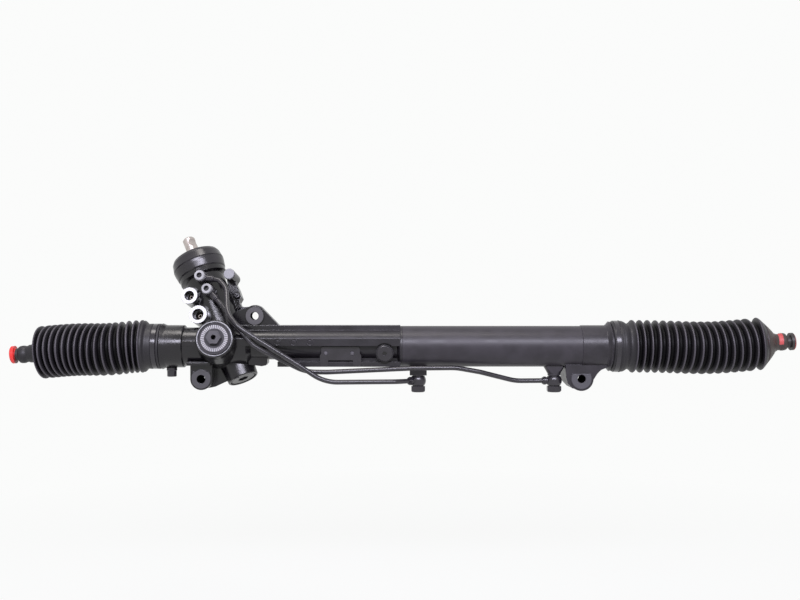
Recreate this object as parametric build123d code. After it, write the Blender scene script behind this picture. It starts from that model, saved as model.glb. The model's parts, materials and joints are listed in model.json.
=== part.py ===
"""Hydraulic power steering rack, as an assembly of its separate pieces.

Millimetres. X runs along the rack, Z is up and the valve tower's ports face -Y.
The origin is the centre of the left mounting lug's bolt hole.
"""
from build123d import *
import os
from math import asin, atan2, ceil, cos, degrees, exp, pi, radians, sin, sqrt, tan

# ---- driving dimensions -------------------------------------------------------------
FIT = 0.05                  # radial clearance of a sliding or turning fit
SOFT_GAP = 0.3              # clearance round soft and loose pieces

# rack bar and its travel
RACK_Z = 40.2               # rack axis above the left lug hole
RACK_R = 12.5
RACK_CLEARANCE = 1.0        # round the rack inside the castings
RACK_LEFT, RACK_RIGHT = -103.0, 633.0
RACK_SOCKET_R, RACK_SOCKET_DEPTH = 7.0, 22.0
RACK_FLAT = 8.2             # tooth tips above the rack axis

# rack and pinion mesh
NORMAL_MODULE = 1.9
PRESSURE_ANGLE = 20.0
PINION_TEETH = 8
PINION_HELIX = 30.0
PROFILE_SHIFT = 0.75        # outward shift of the pinion's teeth
TIP_CLEARANCE = 0.5
FLANK_CLEARANCE = 0.06      # backlash taken off each pinion flank

# pinion and valve, heights along the tower from where its axis passes the rack
PINION_X = 33.5
TOWER_TILT = 24.4           # to the left, seen from the front
TOWER_LEAN = 16.5           # to the back
PINION_HALF = 15.0          # half the toothed length
JOURNAL_R = 12.0
BEARING_R, BEARING_BORE_R, BEARING_WIDTH, BEARING_TOP = 14.0, 6.0, 8.0, -20.0
NUT_R, NUT_FLATS, NUT_WIDTH = 5.0, 14.0, 5.0
BALL_TRACK_R, BEARING_BALLS, RACE = 1.9, 9, 2.8
NEEDLE_R, NEEDLE_LOW, NEEDLE_WIDTH = 15.0, 21.0, 12.0
SLEEVE_R, SLEEVE_BORE_R, SLEEVE_LOW, SLEEVE_HIGH = 19.5, 11.0, 48.0, 98.0
SLEEVE_RINGS, SLEEVE_RING_WIDTH, SLEEVE_GROOVE_R = 4, 2.4, 17.8
CUP_DEPTH, TONGUE_R, TONGUE_WIDTH = 8.0, 9.0, 8.0
TORSION_BAR_R, TORSION_BAR_LOW, TORSION_BAR_TOP = 3.0, 20.0, 150.0
TORSION_PIN_R, TORSION_PIN_HEIGHT = 1.5, 144.0
TORSION_LIMIT = 5.0         # degrees the shaft may turn on the pinion
SHAFT_R, SHAFT_JOURNAL_R, SHAFT_TOP, SHAFT_FLAT = 8.5, 9.0, 163.5, 6.4
SHAFT_SHOULDER = 0.6        # above the cap, where the journal steps down
SHAFT_SEAT_TOP, CLAMP_R = 141.5, 7.9   # round seat below the slimmer clamped end
FLAT_TURN, FLAT_GAP, NOTCH_R, NOTCH_DEPTH, NOTCH_DROP = -30.0, 1.0, 6.0, 2.2, 9.0

# valve tower and its cap
VALVE_BODY_R, VALVE_BORE_R = 25.5, 20.0
VALVE_FLOOR, VALVE_TOP = 40.0, 109.0
RIM_R, RIM_HEIGHT = 30.2, 6.5       # flange under the cap
CAP_R, CAP_LOW_R, CAP_TOP_R, CAP_TOP = 33.2, 31.4, 30.6, 136.5
CAP_GROOVE_AT, CAP_GROOVE, CAP_SPIGOT = 121.5, 0.9, 8.0
CAP_BEARING_R, CAP_BEARING_LOW, CAP_BEARING_WIDTH, CAP_SEAL_WIDTH = 14.0, 104.0, 12.0, 7.0
PINION_BOSS_R, PINION_BOSS_END = 19.2, -41.5
END_CAP_R, END_CAP_SINK, END_CAP_HEX = 16.6, 2.5, 12.0
END_TAB_AT, END_TAB_WIDTH, END_TAB = 255.0, 4.5, 2.4        # locking tab on the end cap

# yoke
YOKE_X, YOKE_DROP = 21.0, 2.5               # place along the rack, degrees below the teeth's normal
YOKE_R, YOKE_LOW, YOKE_BACK = 16.0, 4.0, 27.0
YOKE_FACE = 41.5            # distance of the yoke boss's face from the rack axis
YOKE_BOSS_R = 23.6
ADJUSTER_R, LOCK_RING_R = 17.1, 20.3
ADJUSTER_PROUD, ADJUSTER_DEPTH = 1.5, 9.0
ADJUSTER_HEX, ADJUSTER_HEX_HIGH, ADJUSTER_HOLE_R = 16.0, 6.0, 3.0
ADJUSTER_NOTCHES, NOTCH_LENGTH, NOTCH_WIDTH, NOTCH_SINK = 40, 4.6, 1.1, 1.2
LOCK_RING, LOCK_RIM, LOCK_RIM_WIDTH = 0.9, 2.2, 1.0     # its height, its rim's
LOCK_NOTCHES = (20, 100, 215, 330)
LINER = 0.8
SPRING_R, SPRING_WIRE_R, SPRING_COILS = 7.0, 1.3, 4
SPRING_LOW, SPRING_POCKET_R = 17.0, 9.0
O_RING_AT, O_RING_R = 22.5, 1.0

# main casting
HOUSING_LEFT, HOUSING_RIGHT = -67.0, 249.5
SPIGOT_R, RIGHT_SPIGOT_R = 25.0, 28.4       # that the bellows' cuffs sit on
END_TUBE_R, END_TUBE_RIGHT, WAIST_R = 26.5, -22.0, 23.6
FLARE_R, FLARE = 28.6, 4.5          # how the left casting flares to its bellows
RACK_BORE_R = RACK_R + RACK_CLEARANCE
TUBE_WALL = 3.0
TUBE_R = RACK_BORE_R + TUBE_WALL
HOOD_LEFT, HOOD_TOP, HOOD_HALF, BAND_HALF = 58.0, 26.3, 13.0, 24.5
COLLAR = 3.0                        # end collar of the casting, against the cylinder
CAST_MARKS, CAST_MARK_R, CAST_MARK_Z = (95.7, 115.6, 135.4), 4.6, 46.2
FOOT_LEFT, FOOT_RIGHT, FOOT_LOW, FOOT_HALF = 58.0, 81.5, 15.8, 9.0
BAND_LOW, BAND_HIGH, LEDGE_LOW = 1.3, 10.3, 20.3
FLANGE_LEFT, FLANGE_LOW, FLANGE_HIGH, FLANGE_HALF = 95.0, -24.6, -18.4, 17.5
VENT_X, VENT_R, VENT_COLLAR_R, VENT_TENON_R, VENT_LENGTH = -38.9, 5.9, 6.5, 4.0, 11.3
SERVICE_X, SERVICE_Z, SERVICE_R, SERVICE_FACE = 227.2, 32.4, 9.6, 22.5
SERVICE_SHANK_R, SERVICE_HEX, SERVICE_RIM = 6.5, 5.0, 3.2
PLATE_X, PLATE_WIDTH, PLATE_TOP, PLATE_LOW, PLATE_THICK = 172.8, 47.6, 40.2, 23.7, 1.0
PLATE_TAB, PLATE_TAB_TOP, PLATE_FOOT = 1.7, 31.5, 9.6
RIVET_R, RIVET_X, RIVET_SPACING, RIVET_Z = 1.3, 170.9, 32.5, 32.3
RIVET_FOOT = RACK_BORE_R - 0.5      # inside the tube's wall
ARM_BOSS, ARM_BOSS_R, ARM_FACE, BOLT_R = (35.3, 87.6), 7.2, 17.0, 4.0
ARM_BOLT_DEPTH = 14.0
ARM_KNOBS = ((32.0, 62.0, 4.6, 6.0), (28.5, 47.5, 3.8, 5.0))    # across, up, radius, face
SPIGOT_DEPTH = 15.0         # of each housing's spigot inside the cylinder

# cylinder and right housing
CYLINDER_R, CYLINDER_BORE_R = 25.4, 21.5
CYLINDER_RIGHT = 471.0
END_R, END_RIGHT = 26.3, 526.0
END_FLARE_R, END_FLARE = 31.0, 5.5  # how the right casting flares to its bellows
PISTON_X, PISTON_WIDTH = 395.0, 22.0
SEAL_WIDTH, SEAL_R = 8.0, 18.0
BUSHING_R, BUSHING_WIDTH = 16.0, 24.0

# mounting holes, all along Y
LUG_HOLE_R, LUG_R, LUG_FRONT, LUG_BACK = 5.25, 13.5, 14.0, 36.0
LUG_PAD = 1.2               # how far the lugs' pads stand proud
SHELF_LEFT, SHELF_RIGHT, SHELF_LOW, SHELF_HIGH, SHELF_FRONT = -16.5, 12.5, 17.0, 22.0, 21.5
EAR_X, EAR_Z, EAR_HOLE_R, EAR_R, EAR_HALF = 65.4, 78.2, 5.0, 11.7, 8.0
RIGHT_LUG_X, RIGHT_LUG_Z, RIGHT_LUG_HOLE_R, RIGHT_PAD_TOP = 470.7, 0.4, 5.0, 6.0

# hydraulic ports and lines
PIPE_R, MAX_BEND = 3.0, 60.0
PORT_FACE = 33.0            # port faces ahead of the tower's axis
PRESSURE_PORT, RETURN_PORT = (-19.2, 77.6), (-17.6, 49.9)
PRESSURE_PORT_R, PRESSURE_HOLE_R = 10.5, 6.2
RETURN_PORT_R, RETURN_HOLE_R = 11.5, 7.2
PORT_DEPTH, PORT_SEAT, PORT_SEAT_STEP, PASSAGE_R = 10.0, 5.0, 1.4, 1.5
LINE_PORTS = ((3.6, 93.2), (5.8, 73.2))
LINE_BOSS_R, LINE_BOSS_FACE = 8.2, 27.0
UNION_HEAD_R, UNION_HEAD, UNION_HEX = 6.5, 5.0, 6.0
UNION_THREAD_R, UNION_DEPTH, HEX_HEAD = 4.5, 6.0, 7.4
BANJO_R, BANJO_HEIGHT, BANJO_NECK_R, BANJO_NECK = 7.6, 9.0, 4.0, 17.0
BALL_BANJO_R, BALL_BANJO_HEIGHT = 9.8, 11.6         # the rounder ones under the cylinder
WASHER, WASHER_R = 1.0, 7.0
NEAR_PORT_X, FAR_PORT_X = 268.8, 438.5
NEAR_BOSS_HALF = 10.5
CYLINDER_BOSS_R, CYLINDER_BOSS_DROP = 8.0, 36.0     # port faces below the rack axis
CYLINDER_HEX, FAR_BOSS_FLARE = 17.0, 5.0
FERRULE_R, FERRULE_REACH = 4.4, 15.0
COLLAR_LIP, COLLAR_WIDTH, COLLAR_BACK = 0.8, 2.6, 1.6       # collar on a banjo's neck

# inner tie rods
BALL_R, BALL_HOUSING_R = 14.0, 18.5
BALL_SET_BACK = 25.0        # ball centre beyond the rack's end
SEAT, LOCK_WASHER = 1.6, 1.5
ROD_R, ROD_SOCKET_R, ROD_SOCKET_DEPTH = 8.0, 5.5, 14.0
LEFT_ROD_ANGLE, RIGHT_ROD_ANGLE = 5.6, 4.4
LEFT_ROD_END, RIGHT_ROD_END = 101.5, 70.2           # from the ball's centre
STEM_R, PLUG_R, PLUG_FLANGE, PLUG_WAIST_R, PLUG_WAIST = 5.4, 10.9, 5.0, 7.6, 5.0

# bellows
BELLOWS_R, BELLOWS_VALLEY_R, BELLOWS_WALL = 32.9, 27.9, 1.4
NECK_R, NECK_LENGTH = 10.4, 14.5
LEFT_CUFF, RIGHT_CUFF = (-69.0, -50.3), (507.0, 528.5)
LEFT_CUFF_R, RIGHT_CUFF_R = 28.2, 32.0
CONVOLUTIONS, CREST = 17, 2.6                        # their number, a crest's width
CREST_ENDS = {-1: (5.3, 14.0), 1: (8.0, 19.0)}      # first and last crest from the ends
LEFT_SWELL, SWELL_AT, SWELL_REACH = 0.35, 0.25, 0.20        # wider spacing, where, how far
LEFT_NECK, RIGHT_NECK = 89.0, 56.0                  # neck start from the ball's centre
CUFF_EDGE, CLAMP_WIDTH, CLAMP_THICK = 4.0, 6.0, 1.0

# ---- frames and sizes that follow ---------------------------------------------------
RACK = Plane(origin=(0, 0, RACK_Z), x_dir=(0, 1, 0), z_dir=(1, 0, 0))
TOWER_DIR = Vector(-sin(radians(TOWER_TILT)) * cos(radians(TOWER_LEAN)),
                   sin(radians(TOWER_LEAN)),
                   cos(radians(TOWER_TILT)) * cos(radians(TOWER_LEAN)))
YOKE_DIR = Vector(1, 0, 0).cross(TOWER_DIR).normalized()
CROSSING = degrees(asin(-TOWER_DIR.X))      # pinion axis from the rack's perpendicular

TRANSVERSE_ANGLE = atan2(tan(radians(PRESSURE_ANGLE)), cos(radians(PINION_HELIX)))
PITCH_R = PINION_TEETH * NORMAL_MODULE / cos(radians(PINION_HELIX)) / 2
BASE_R = PITCH_R * cos(TRANSVERSE_ANGLE)
RACK_PITCH_LINE = RACK_FLAT - NORMAL_MODULE
RACK_ROOT = RACK_PITCH_LINE - 1.25 * NORMAL_MODULE
MESH_DISTANCE = RACK_PITCH_LINE + PITCH_R + PROFILE_SHIFT
PINION_TIP_R = MESH_DISTANCE - RACK_ROOT - TIP_CLEARANCE
PINION_ROOT_R = MESH_DISTANCE - RACK_FLAT - TIP_CLEARANCE
TOOTH_SLANT = radians(PINION_HELIX - CROSSING)      # rack teeth from square
RACK_PITCH = pi * NORMAL_MODULE / cos(TOOTH_SLANT)

TRAVEL_RIGHT = HOUSING_LEFT - RACK_LEFT             # until a ball housing meets an end
TRAVEL_LEFT = RACK_RIGHT - END_RIGHT

FRONT = (Vector(0, -1, 0) + TOWER_DIR * TOWER_DIR.Y).normalized()
TOWER = Plane(origin=Vector(PINION_X, 0, RACK_Z) - YOKE_DIR * MESH_DISTANCE,
              x_dir=TOWER_DIR.cross(FRONT), z_dir=TOWER_DIR)
YOKE = Plane(origin=(YOKE_X, 0, RACK_Z), x_dir=(1, 0, 0),
             z_dir=YOKE_DIR.rotate(Axis.X, YOKE_DROP))
BEARING_LOW = BEARING_TOP - BEARING_WIDTH
STUB_END = BEARING_LOW - NUT_WIDTH - 2
CYLINDER_PORT_Z = RACK_Z - CYLINDER_BOSS_DROP


def facing_front(x, y, z):
    """A frame whose z axis points to the front, -Y, with x to the right."""
    return Plane(origin=(x, y, z), x_dir=(1, 0, 0), z_dir=(0, -1, 0))


def downwards(x):
    """A frame on the rack's axis at x, z pointing down."""
    return Plane(origin=(x, 0, RACK_Z), x_dir=(1, 0, 0), z_dir=(0, 0, -1))


def under_cylinder(x):
    """A frame at a port face under the cylinder, z pointing down."""
    return Plane(origin=(x, 0, CYLINDER_PORT_Z), x_dir=(1, 0, 0), z_dir=(0, 0, -1))


def on_tower(place, ahead):
    """A frame facing the tower's front at (across, up), that far ahead of its axis."""
    across, up = place
    origin = TOWER.from_local_coords(Vector(across, -ahead, up))
    return Plane(origin=origin, x_dir=TOWER.x_dir, z_dir=FRONT)


def rack_end(side):
    """A frame at the rack's left (-1) or right (1) end, z pointing outwards."""
    x = RACK_LEFT if side < 0 else RACK_RIGHT
    return Plane(origin=(x, 0, RACK_Z), x_dir=(0, 1, 0), z_dir=(side, 0, 0))


def rod_frame(side):
    """A tie rod's frame, from its ball's centre out along the rod."""
    angle = radians(LEFT_ROD_ANGLE if side < 0 else RIGHT_ROD_ANGLE)
    centre = rack_end(side).from_local_coords(Vector(0, 0, BALL_SET_BACK))
    return Plane(origin=centre, x_dir=(0, 1, 0), z_dir=(side * cos(angle), 0, side * sin(angle)))


# ---- shape helpers ------------------------------------------------------------------
def turned(corners, frame):
    """Solid turned about the frame's z axis from its (radius, height) corners."""
    profile = make_face(Polyline(*[(r, 0, z) for r, z in corners], close=True))
    return frame.location * revolve(profile, Axis.Z)


def rod(radius, low, high, frame):
    """Round bar between two heights."""
    return turned([(0, low), (radius, low), (radius, high), (0, high)], frame)


def ring(outer, inner, low, high, frame):
    """Plain ring between two heights."""
    return turned([(inner, low), (outer, low), (outer, high), (inner, high)], frame)


def torus_ring(middle_r, wire_r, height, frame):
    """O-ring or piston ring of round section."""
    section = Plane.XZ * Pos(middle_r, height) * Circle(wire_r)
    return frame.location * revolve(section, Axis.Z)


def block(sketch, low, high, frame):
    """A sketch in the frame's xy plane, extruded between two heights."""
    return frame.location * extrude(Pos(0, 0, low) * sketch, amount=high - low)


def hexagon(across_flats):
    return RegularPolygon(across_flats / sqrt(3), 6)


def outline(*corners):
    """A straight-sided face through the corners."""
    return make_face(Polyline(*corners, close=True))


def save(name, *shapes):
    """Write one node; its separate solids stay separate."""
    solids = [s for shape in shapes for s in shape.solids()]
    node = solids[0] if len(solids) == 1 else Compound(children=solids)
    node.label = name
    export_step(node, f"parts/{name}.step")


# ---- main casting -------------------------------------------------------------------
def body_section():
    """Half-symmetric section of the casting between the yoke and the cylinder."""
    hood = Polyline((BAND_HALF, BAND_LOW), (BAND_HALF, BAND_HIGH))
    curve = ThreePointArc((BAND_HALF, BAND_HIGH), (BAND_HALF - 4.2, BAND_HIGH + 6.4),
                          (HOOD_HALF, LEDGE_LOW))
    top = Polyline((HOOD_HALF, LEDGE_LOW), (HOOD_HALF, HOOD_TOP), (0, HOOD_TOP),
                   (0, BAND_LOW), (BAND_HALF, BAND_LOW))
    half = make_face(hood + curve + top)
    return half + mirror(half, Plane.YZ)


def tube_section():
    """The plain rack tube with the flange under it."""
    flange = Pos(0, (FLANGE_LOW + FLANGE_HIGH) / 2) * Rectangle(2 * FLANGE_HALF,
                                                               FLANGE_HIGH - FLANGE_LOW)
    web = Pos(0, FLANGE_HIGH / 2) * Rectangle(TUBE_R, -FLANGE_HIGH)
    return flange + web


def left_lug():
    """D-shaped lug with a raised pad, a shelf over it and a gusset to the pinion boss."""
    arch = Circle(LUG_R) + Pos(0, SHELF_HIGH / 2) * Rectangle(2 * LUG_R, SHELF_HIGH)
    face_r = LUG_R - 1.8
    pad = Circle(face_r) + Pos(0, 4.5) * Rectangle(2 * face_r, 9)
    frame = facing_front(0, 0, 0)
    lug = block(arch, -LUG_BACK, LUG_FRONT - LUG_PAD, frame) + block(pad, 0, LUG_FRONT, frame)
    shelf = Pos((SHELF_LEFT + SHELF_RIGHT) / 2, (SHELF_LOW + SHELF_HIGH) / 2) * Rectangle(
        SHELF_RIGHT - SHELF_LEFT, SHELF_HIGH - SHELF_LOW)
    ledge = block(shelf, -LUG_FRONT, SHELF_FRONT, frame)
    lug += fillet(ledge.edges().filter_by(Axis.X), 1.8)
    gusset = outline((4, -LUG_R + 0.6), (14, -11), (40, 1), (40, 16), (4, 16))
    return lug + block(gusset, -LUG_FRONT, -LUG_FRONT / 2, frame)


def tube_foot():
    """Small cast foot under the tube, right of the pinion boss."""
    shape = outline((FOOT_LEFT, FOOT_LOW + 2), (FOOT_RIGHT - 7, FOOT_LOW), (FOOT_RIGHT - 2, FOOT_LOW + 1),
                    (FOOT_RIGHT, FOOT_LOW + 4), (FOOT_RIGHT, RACK_Z), (FOOT_LEFT, RACK_Z))
    return block(shape, -FOOT_HALF, FOOT_HALF, facing_front(0, 0, 0))


def top_ear():
    """Ear above the tube with a ring boss round its hole and a web that slopes down."""
    plate = Pos(EAR_X, EAR_Z) * Circle(EAR_R + 1.8)
    plate += outline((EAR_X - 26, EAR_Z + 4), (EAR_X - 7, EAR_Z + 11.6), (EAR_X + 8, EAR_Z + 10.9),
                     (EAR_X + 31, RACK_Z + HOOD_TOP - 1), (EAR_X + 31, RACK_Z + 18),
                     (EAR_X - 34, RACK_Z + 18), (EAR_X - 34, EAR_Z - 8))
    frame = facing_front(0, 0, 0)
    ear = block(plate, -EAR_HALF + 1, EAR_HALF - 2.5, frame)
    return ear + block(Pos(EAR_X, EAR_Z) * Circle(EAR_R), -EAR_HALF, EAR_HALF, frame)


def bolt_arm():
    """Cast arm up the right of the tower, with a bolt boss at its top."""
    front = on_tower((0, 0), 0)
    across, up = ARM_BOSS
    arm = outline((14, 40), (36, 39), (43, 41), (36, 43.5), (31.5, 46.5), (31.8, 54), (36.5, 58),
                  (37, 70), (across + 1, up - 9), (across + ARM_BOSS_R, up), (across, up + 6),
                  (across - ARM_BOSS_R, up + 3), (24, 70), (14, 62))
    arm = block(arm, -9, 3, front) + rod(ARM_BOSS_R, -9, ARM_FACE, on_tower(ARM_BOSS, 0))
    for knob_across, knob_up, radius, face in ARM_KNOBS:
        arm += turned([(0, 0), (radius, 0), (radius, face - 1), (radius - 1, face), (0, face)],
                      on_tower((knob_across, knob_up), 0))
    return arm


def casting_tube():
    """The long axis of the casting: end tube, waist, rack tube and cylinder spigot."""
    right = HOUSING_RIGHT
    return turned([(0, HOUSING_LEFT), (SPIGOT_R - 1, HOUSING_LEFT), (SPIGOT_R, HOUSING_LEFT + 1),
                   (SPIGOT_R, LEFT_CUFF[1]), (FLARE_R - 0.5, LEFT_CUFF[1]),
                   (FLARE_R, LEFT_CUFF[1] + 0.6), (END_TUBE_R + 0.5, LEFT_CUFF[1] + FLARE),
                   (END_TUBE_R, LEFT_CUFF[1] + FLARE + 1.5), (END_TUBE_R, END_TUBE_RIGHT - 1),
                   (END_TUBE_R - 1, END_TUBE_RIGHT), (WAIST_R, END_TUBE_RIGHT),
                   (WAIST_R, HOOD_LEFT - 2), (TUBE_R, HOOD_LEFT + 4),
                   (TUBE_R, right - COLLAR - 4), (CYLINDER_R - 1, right - COLLAR - 1),
                   (CYLINDER_R, right - COLLAR), (CYLINDER_R, right),
                   (CYLINDER_BORE_R, right), (CYLINDER_BORE_R, right + SPIGOT_DEPTH),
                   (0, right + SPIGOT_DEPTH)], RACK)


def tower_outside():
    """Valve tower with its port and union bosses, and the pinion boss below."""
    tower = turned([(0, -12), (VALVE_BODY_R + 3, -12), (VALVE_BODY_R, 30),
                    (VALVE_BODY_R, VALVE_TOP - RIM_HEIGHT - 2), (RIM_R, VALVE_TOP - RIM_HEIGHT),
                    (RIM_R, VALVE_TOP), (0, VALVE_TOP)], TOWER)
    tower += turned([(0, 0), (PINION_BOSS_R + 3.5, 0), (PINION_BOSS_R + 0.6, PINION_BOSS_END + 8),
                     (PINION_BOSS_R, PINION_BOSS_END + 0.9),
                     (PINION_BOSS_R - 0.9, PINION_BOSS_END), (0, PINION_BOSS_END)], TOWER)
    for place, radius in ((PRESSURE_PORT, PRESSURE_PORT_R), (RETURN_PORT, RETURN_PORT_R)):
        tower += rod(radius, -6, PORT_FACE, on_tower(place, 0))
    for place in LINE_PORTS:
        tower += rod(LINE_BOSS_R, 0, LINE_BOSS_FACE, on_tower(place, 0))
    return tower + bolt_arm()


def yoke_boss():
    """Round boss for the yoke, tapering a little to its rounded face."""
    return turned([(0, -6), (YOKE_BOSS_R + 3.6, -6), (YOKE_BOSS_R + 2.8, YOKE_FACE - 25),
                   (YOKE_BOSS_R + 0.4, YOKE_FACE - 11), (YOKE_BOSS_R, YOKE_FACE - 1.5),
                   (YOKE_BOSS_R - 1.5, YOKE_FACE), (0, YOKE_FACE)], YOKE)


def casting_outside():
    """Outer form of the main casting before its bores."""
    right = HOUSING_RIGHT - COLLAR
    strip = Pos(-BAND_HALF + 5, BAND_LOW + 2.9) * Rectangle(10, 5.8)
    body = casting_tube() + block(body_section(), HOOD_LEFT - 20, right, RACK)
    body += block(tube_section(), FLANGE_LEFT, right, RACK)
    body += block(strip, -26, 10, RACK)
    body += yoke_boss()
    body += tower_outside()
    body += left_lug() + tube_foot()
    body += top_ear()
    for x in CAST_MARKS:
        body += cast_mark(x)
    pocket = facing_front(SERVICE_X, 0, SERVICE_Z)
    body -= rod(SERVICE_R + SERVICE_RIM, SERVICE_FACE - 4, BAND_HALF + 1, pocket)
    return body + rod(SERVICE_R + 1.2, 6, SERVICE_FACE, pocket)


def cast_mark(x):
    """Plain round boss with a ring groove, cast on the band."""
    frame = facing_front(x, 0, CAST_MARK_Z)
    face = BAND_HALF + 0.5
    return turned([(0, BAND_HALF - 1), (CAST_MARK_R, BAND_HALF - 1), (CAST_MARK_R, face),
                   (CAST_MARK_R - 1, face), (CAST_MARK_R - 1, BAND_HALF), (CAST_MARK_R / 2, BAND_HALF),
                   (CAST_MARK_R / 2, face), (0, face)], frame)


def tower_bores():
    """Everything bored along the tower and into its ports."""
    cut = rod(BEARING_R, PINION_BOSS_END - 1, BEARING_TOP, TOWER)
    cut += rod(END_CAP_R, PINION_BOSS_END - 1, PINION_BOSS_END + END_CAP_SINK, TOWER)
    cut += rod(PINION_TIP_R + 1, BEARING_TOP - 1, NEEDLE_LOW + 1, TOWER)
    cut += rod(NEEDLE_R, NEEDLE_LOW, VALVE_FLOOR + 1, TOWER)
    cut += rod(VALVE_BORE_R, VALVE_FLOOR, VALVE_TOP + 1, TOWER)
    foot = PORT_FACE - PORT_DEPTH
    for place, radius in ((PRESSURE_PORT, PRESSURE_HOLE_R), (RETURN_PORT, RETURN_HOLE_R)):
        frame = on_tower(place, 0)
        cut += rod(radius, foot, PORT_FACE + 1, frame)
        cut += rod(radius - PORT_SEAT_STEP, foot - PORT_SEAT, foot + 1, frame)
        cut += rod(PASSAGE_R, 0, foot - PORT_SEAT + 1, frame)
    for place in LINE_PORTS:
        frame = on_tower(place, 0)
        cut += rod(UNION_THREAD_R, LINE_BOSS_FACE - UNION_DEPTH, LINE_BOSS_FACE + 1, frame)
        cut += rod(PASSAGE_R, 0, LINE_BOSS_FACE, frame)
    return cut + rod(BOLT_R, ARM_FACE - ARM_BOLT_DEPTH, ARM_FACE + 1, on_tower(ARM_BOSS, 0))


def rack_housing():
    """Main casting with every bore cut."""
    body = casting_outside()
    end = HOUSING_RIGHT + SPIGOT_DEPTH
    body -= rod(RACK_BORE_R, HOUSING_LEFT - 1, end + 1, RACK)
    body -= rod(SEAL_R, end - SEAL_WIDTH, end + 1, RACK)
    body -= tower_bores()
    body -= rod(YOKE_R + FIT, 0, YOKE_FACE - ADJUSTER_DEPTH + 1, YOKE)
    body -= rod(ADJUSTER_R, YOKE_FACE - ADJUSTER_DEPTH, YOKE_FACE + 1, YOKE)
    body -= rod(VENT_TENON_R, END_TUBE_R - 6, END_TUBE_R + 1, downwards(VENT_X))
    body -= rod(SERVICE_SHANK_R, SERVICE_FACE - 8, SERVICE_FACE + 1,
                facing_front(SERVICE_X, 0, SERVICE_Z))
    for x in rivet_places():
        body -= rod(RIVET_R, RIVET_FOOT, FLANGE_HALF + 1, facing_front(x, 0, RIVET_Z))
    for hole_r, x, z in ((LUG_HOLE_R, 0, 0), (EAR_HOLE_R, EAR_X, EAR_Z)):
        body -= rod(hole_r, -LUG_BACK - 1, LUG_FRONT + 1, facing_front(x, 0, z))
    return body


def vent_fitting():
    """Short breather stub under the left end tube."""
    return turned([(0, END_TUBE_R - 6), (VENT_TENON_R, END_TUBE_R - 6), (VENT_TENON_R, END_TUBE_R),
                   (VENT_COLLAR_R, END_TUBE_R), (VENT_COLLAR_R, END_TUBE_R + 3.5),
                   (VENT_R, END_TUBE_R + 4), (VENT_R, END_TUBE_R + VENT_LENGTH - 0.6),
                   (VENT_R - 0.6, END_TUBE_R + VENT_LENGTH), (VENT_R - 2, END_TUBE_R + VENT_LENGTH),
                   (VENT_R - 2, END_TUBE_R - 4), (0, END_TUBE_R - 4)], downwards(VENT_X))


def service_plug():
    """Screwed plug with a hexagon socket, in the boss beside the cylinder."""
    frame = facing_front(SERVICE_X, 0, SERVICE_Z)
    plug = turned([(0, SERVICE_FACE - 7), (SERVICE_SHANK_R, SERVICE_FACE - 7),
                   (SERVICE_SHANK_R, SERVICE_FACE), (SERVICE_R, SERVICE_FACE),
                   (SERVICE_R, SERVICE_FACE + 1.8), (SERVICE_R - 0.7, SERVICE_FACE + 2.5),
                   (0, SERVICE_FACE + 2.5)], frame)
    return plug - block(hexagon(SERVICE_HEX), SERVICE_FACE - 3, SERVICE_FACE + 3, frame)


def rivet_places():
    return (RIVET_X - RIVET_SPACING / 2, RIVET_X + RIVET_SPACING / 2)


def nameplate():
    """Bare plate with a tab at each side and two feet that stand on the lower flange."""
    frame = facing_front(0, 0, 0)
    sheet = Pos(PLATE_X, (PLATE_TOP + PLATE_LOW) / 2) * Rectangle(PLATE_WIDTH, PLATE_TOP - PLATE_LOW)
    sheet = fillet(sheet.vertices().group_by(Axis.Y)[-1], 2.0)
    foot_end = RACK_Z + FLANGE_LOW + 0.5
    for side in (-1, 1):
        edge = PLATE_X + side * PLATE_WIDTH / 2
        sheet += outline((edge, PLATE_TAB_TOP), (edge + side * PLATE_TAB, PLATE_TAB_TOP - 1.5),
                         (edge + side * PLATE_TAB, PLATE_LOW - 1.5), (edge + side, foot_end),
                         (edge + side * (1 - PLATE_FOOT), foot_end),
                         (edge + side * (1 - PLATE_FOOT), PLATE_LOW + 1))
    plate = block(sheet, FLANGE_HALF, FLANGE_HALF + PLATE_THICK, frame)
    for x in rivet_places():
        plate -= rod(RIVET_R, 0, 40, facing_front(x, 0, RIVET_Z))
    return plate


def nameplate_rivets():
    """Two round-headed rivets."""
    face = FLANGE_HALF + PLATE_THICK
    return [turned([(0, RIVET_FOOT), (RIVET_R, RIVET_FOOT), (RIVET_R, face), (2 * RIVET_R, face),
                    (1.4 * RIVET_R, face + 1), (0, face + 1.2)], facing_front(x, 0, RIVET_Z))
            for x in rivet_places()]


# ---- cylinder and right housing -----------------------------------------------------
def cylinder_tube():
    """Steel cylinder with a block and a cone welded under it for the line ports."""
    tube = rod(CYLINDER_R, HOUSING_RIGHT, CYLINDER_RIGHT, RACK)
    near = Rectangle(2 * NEAR_BOSS_HALF, 2 * CYLINDER_BOSS_R)
    depth = CYLINDER_BOSS_DROP - CYLINDER_R / 2
    tube += block(near, -depth, 0, under_cylinder(NEAR_PORT_X))
    wall = CYLINDER_BOSS_DROP - CYLINDER_R
    flare = CYLINDER_BOSS_R + FAR_BOSS_FLARE
    cone = turned([(0, -depth), (flare, -depth), (flare, -wall), (CYLINDER_BOSS_R, -2),
                   (CYLINDER_BOSS_R, 0), (0, 0)], under_cylinder(FAR_PORT_X))
    slab = Rectangle(2 * flare, 2 * CYLINDER_BOSS_R)
    tube += cone & block(slab, -depth, 0, under_cylinder(FAR_PORT_X))
    tube -= rod(CYLINDER_BORE_R, HOUSING_RIGHT - 1, CYLINDER_RIGHT + 1, RACK)
    for x in (NEAR_PORT_X, FAR_PORT_X):
        tube -= rod(UNION_THREAD_R, -depth, 1, under_cylinder(x))
    return tube


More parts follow.
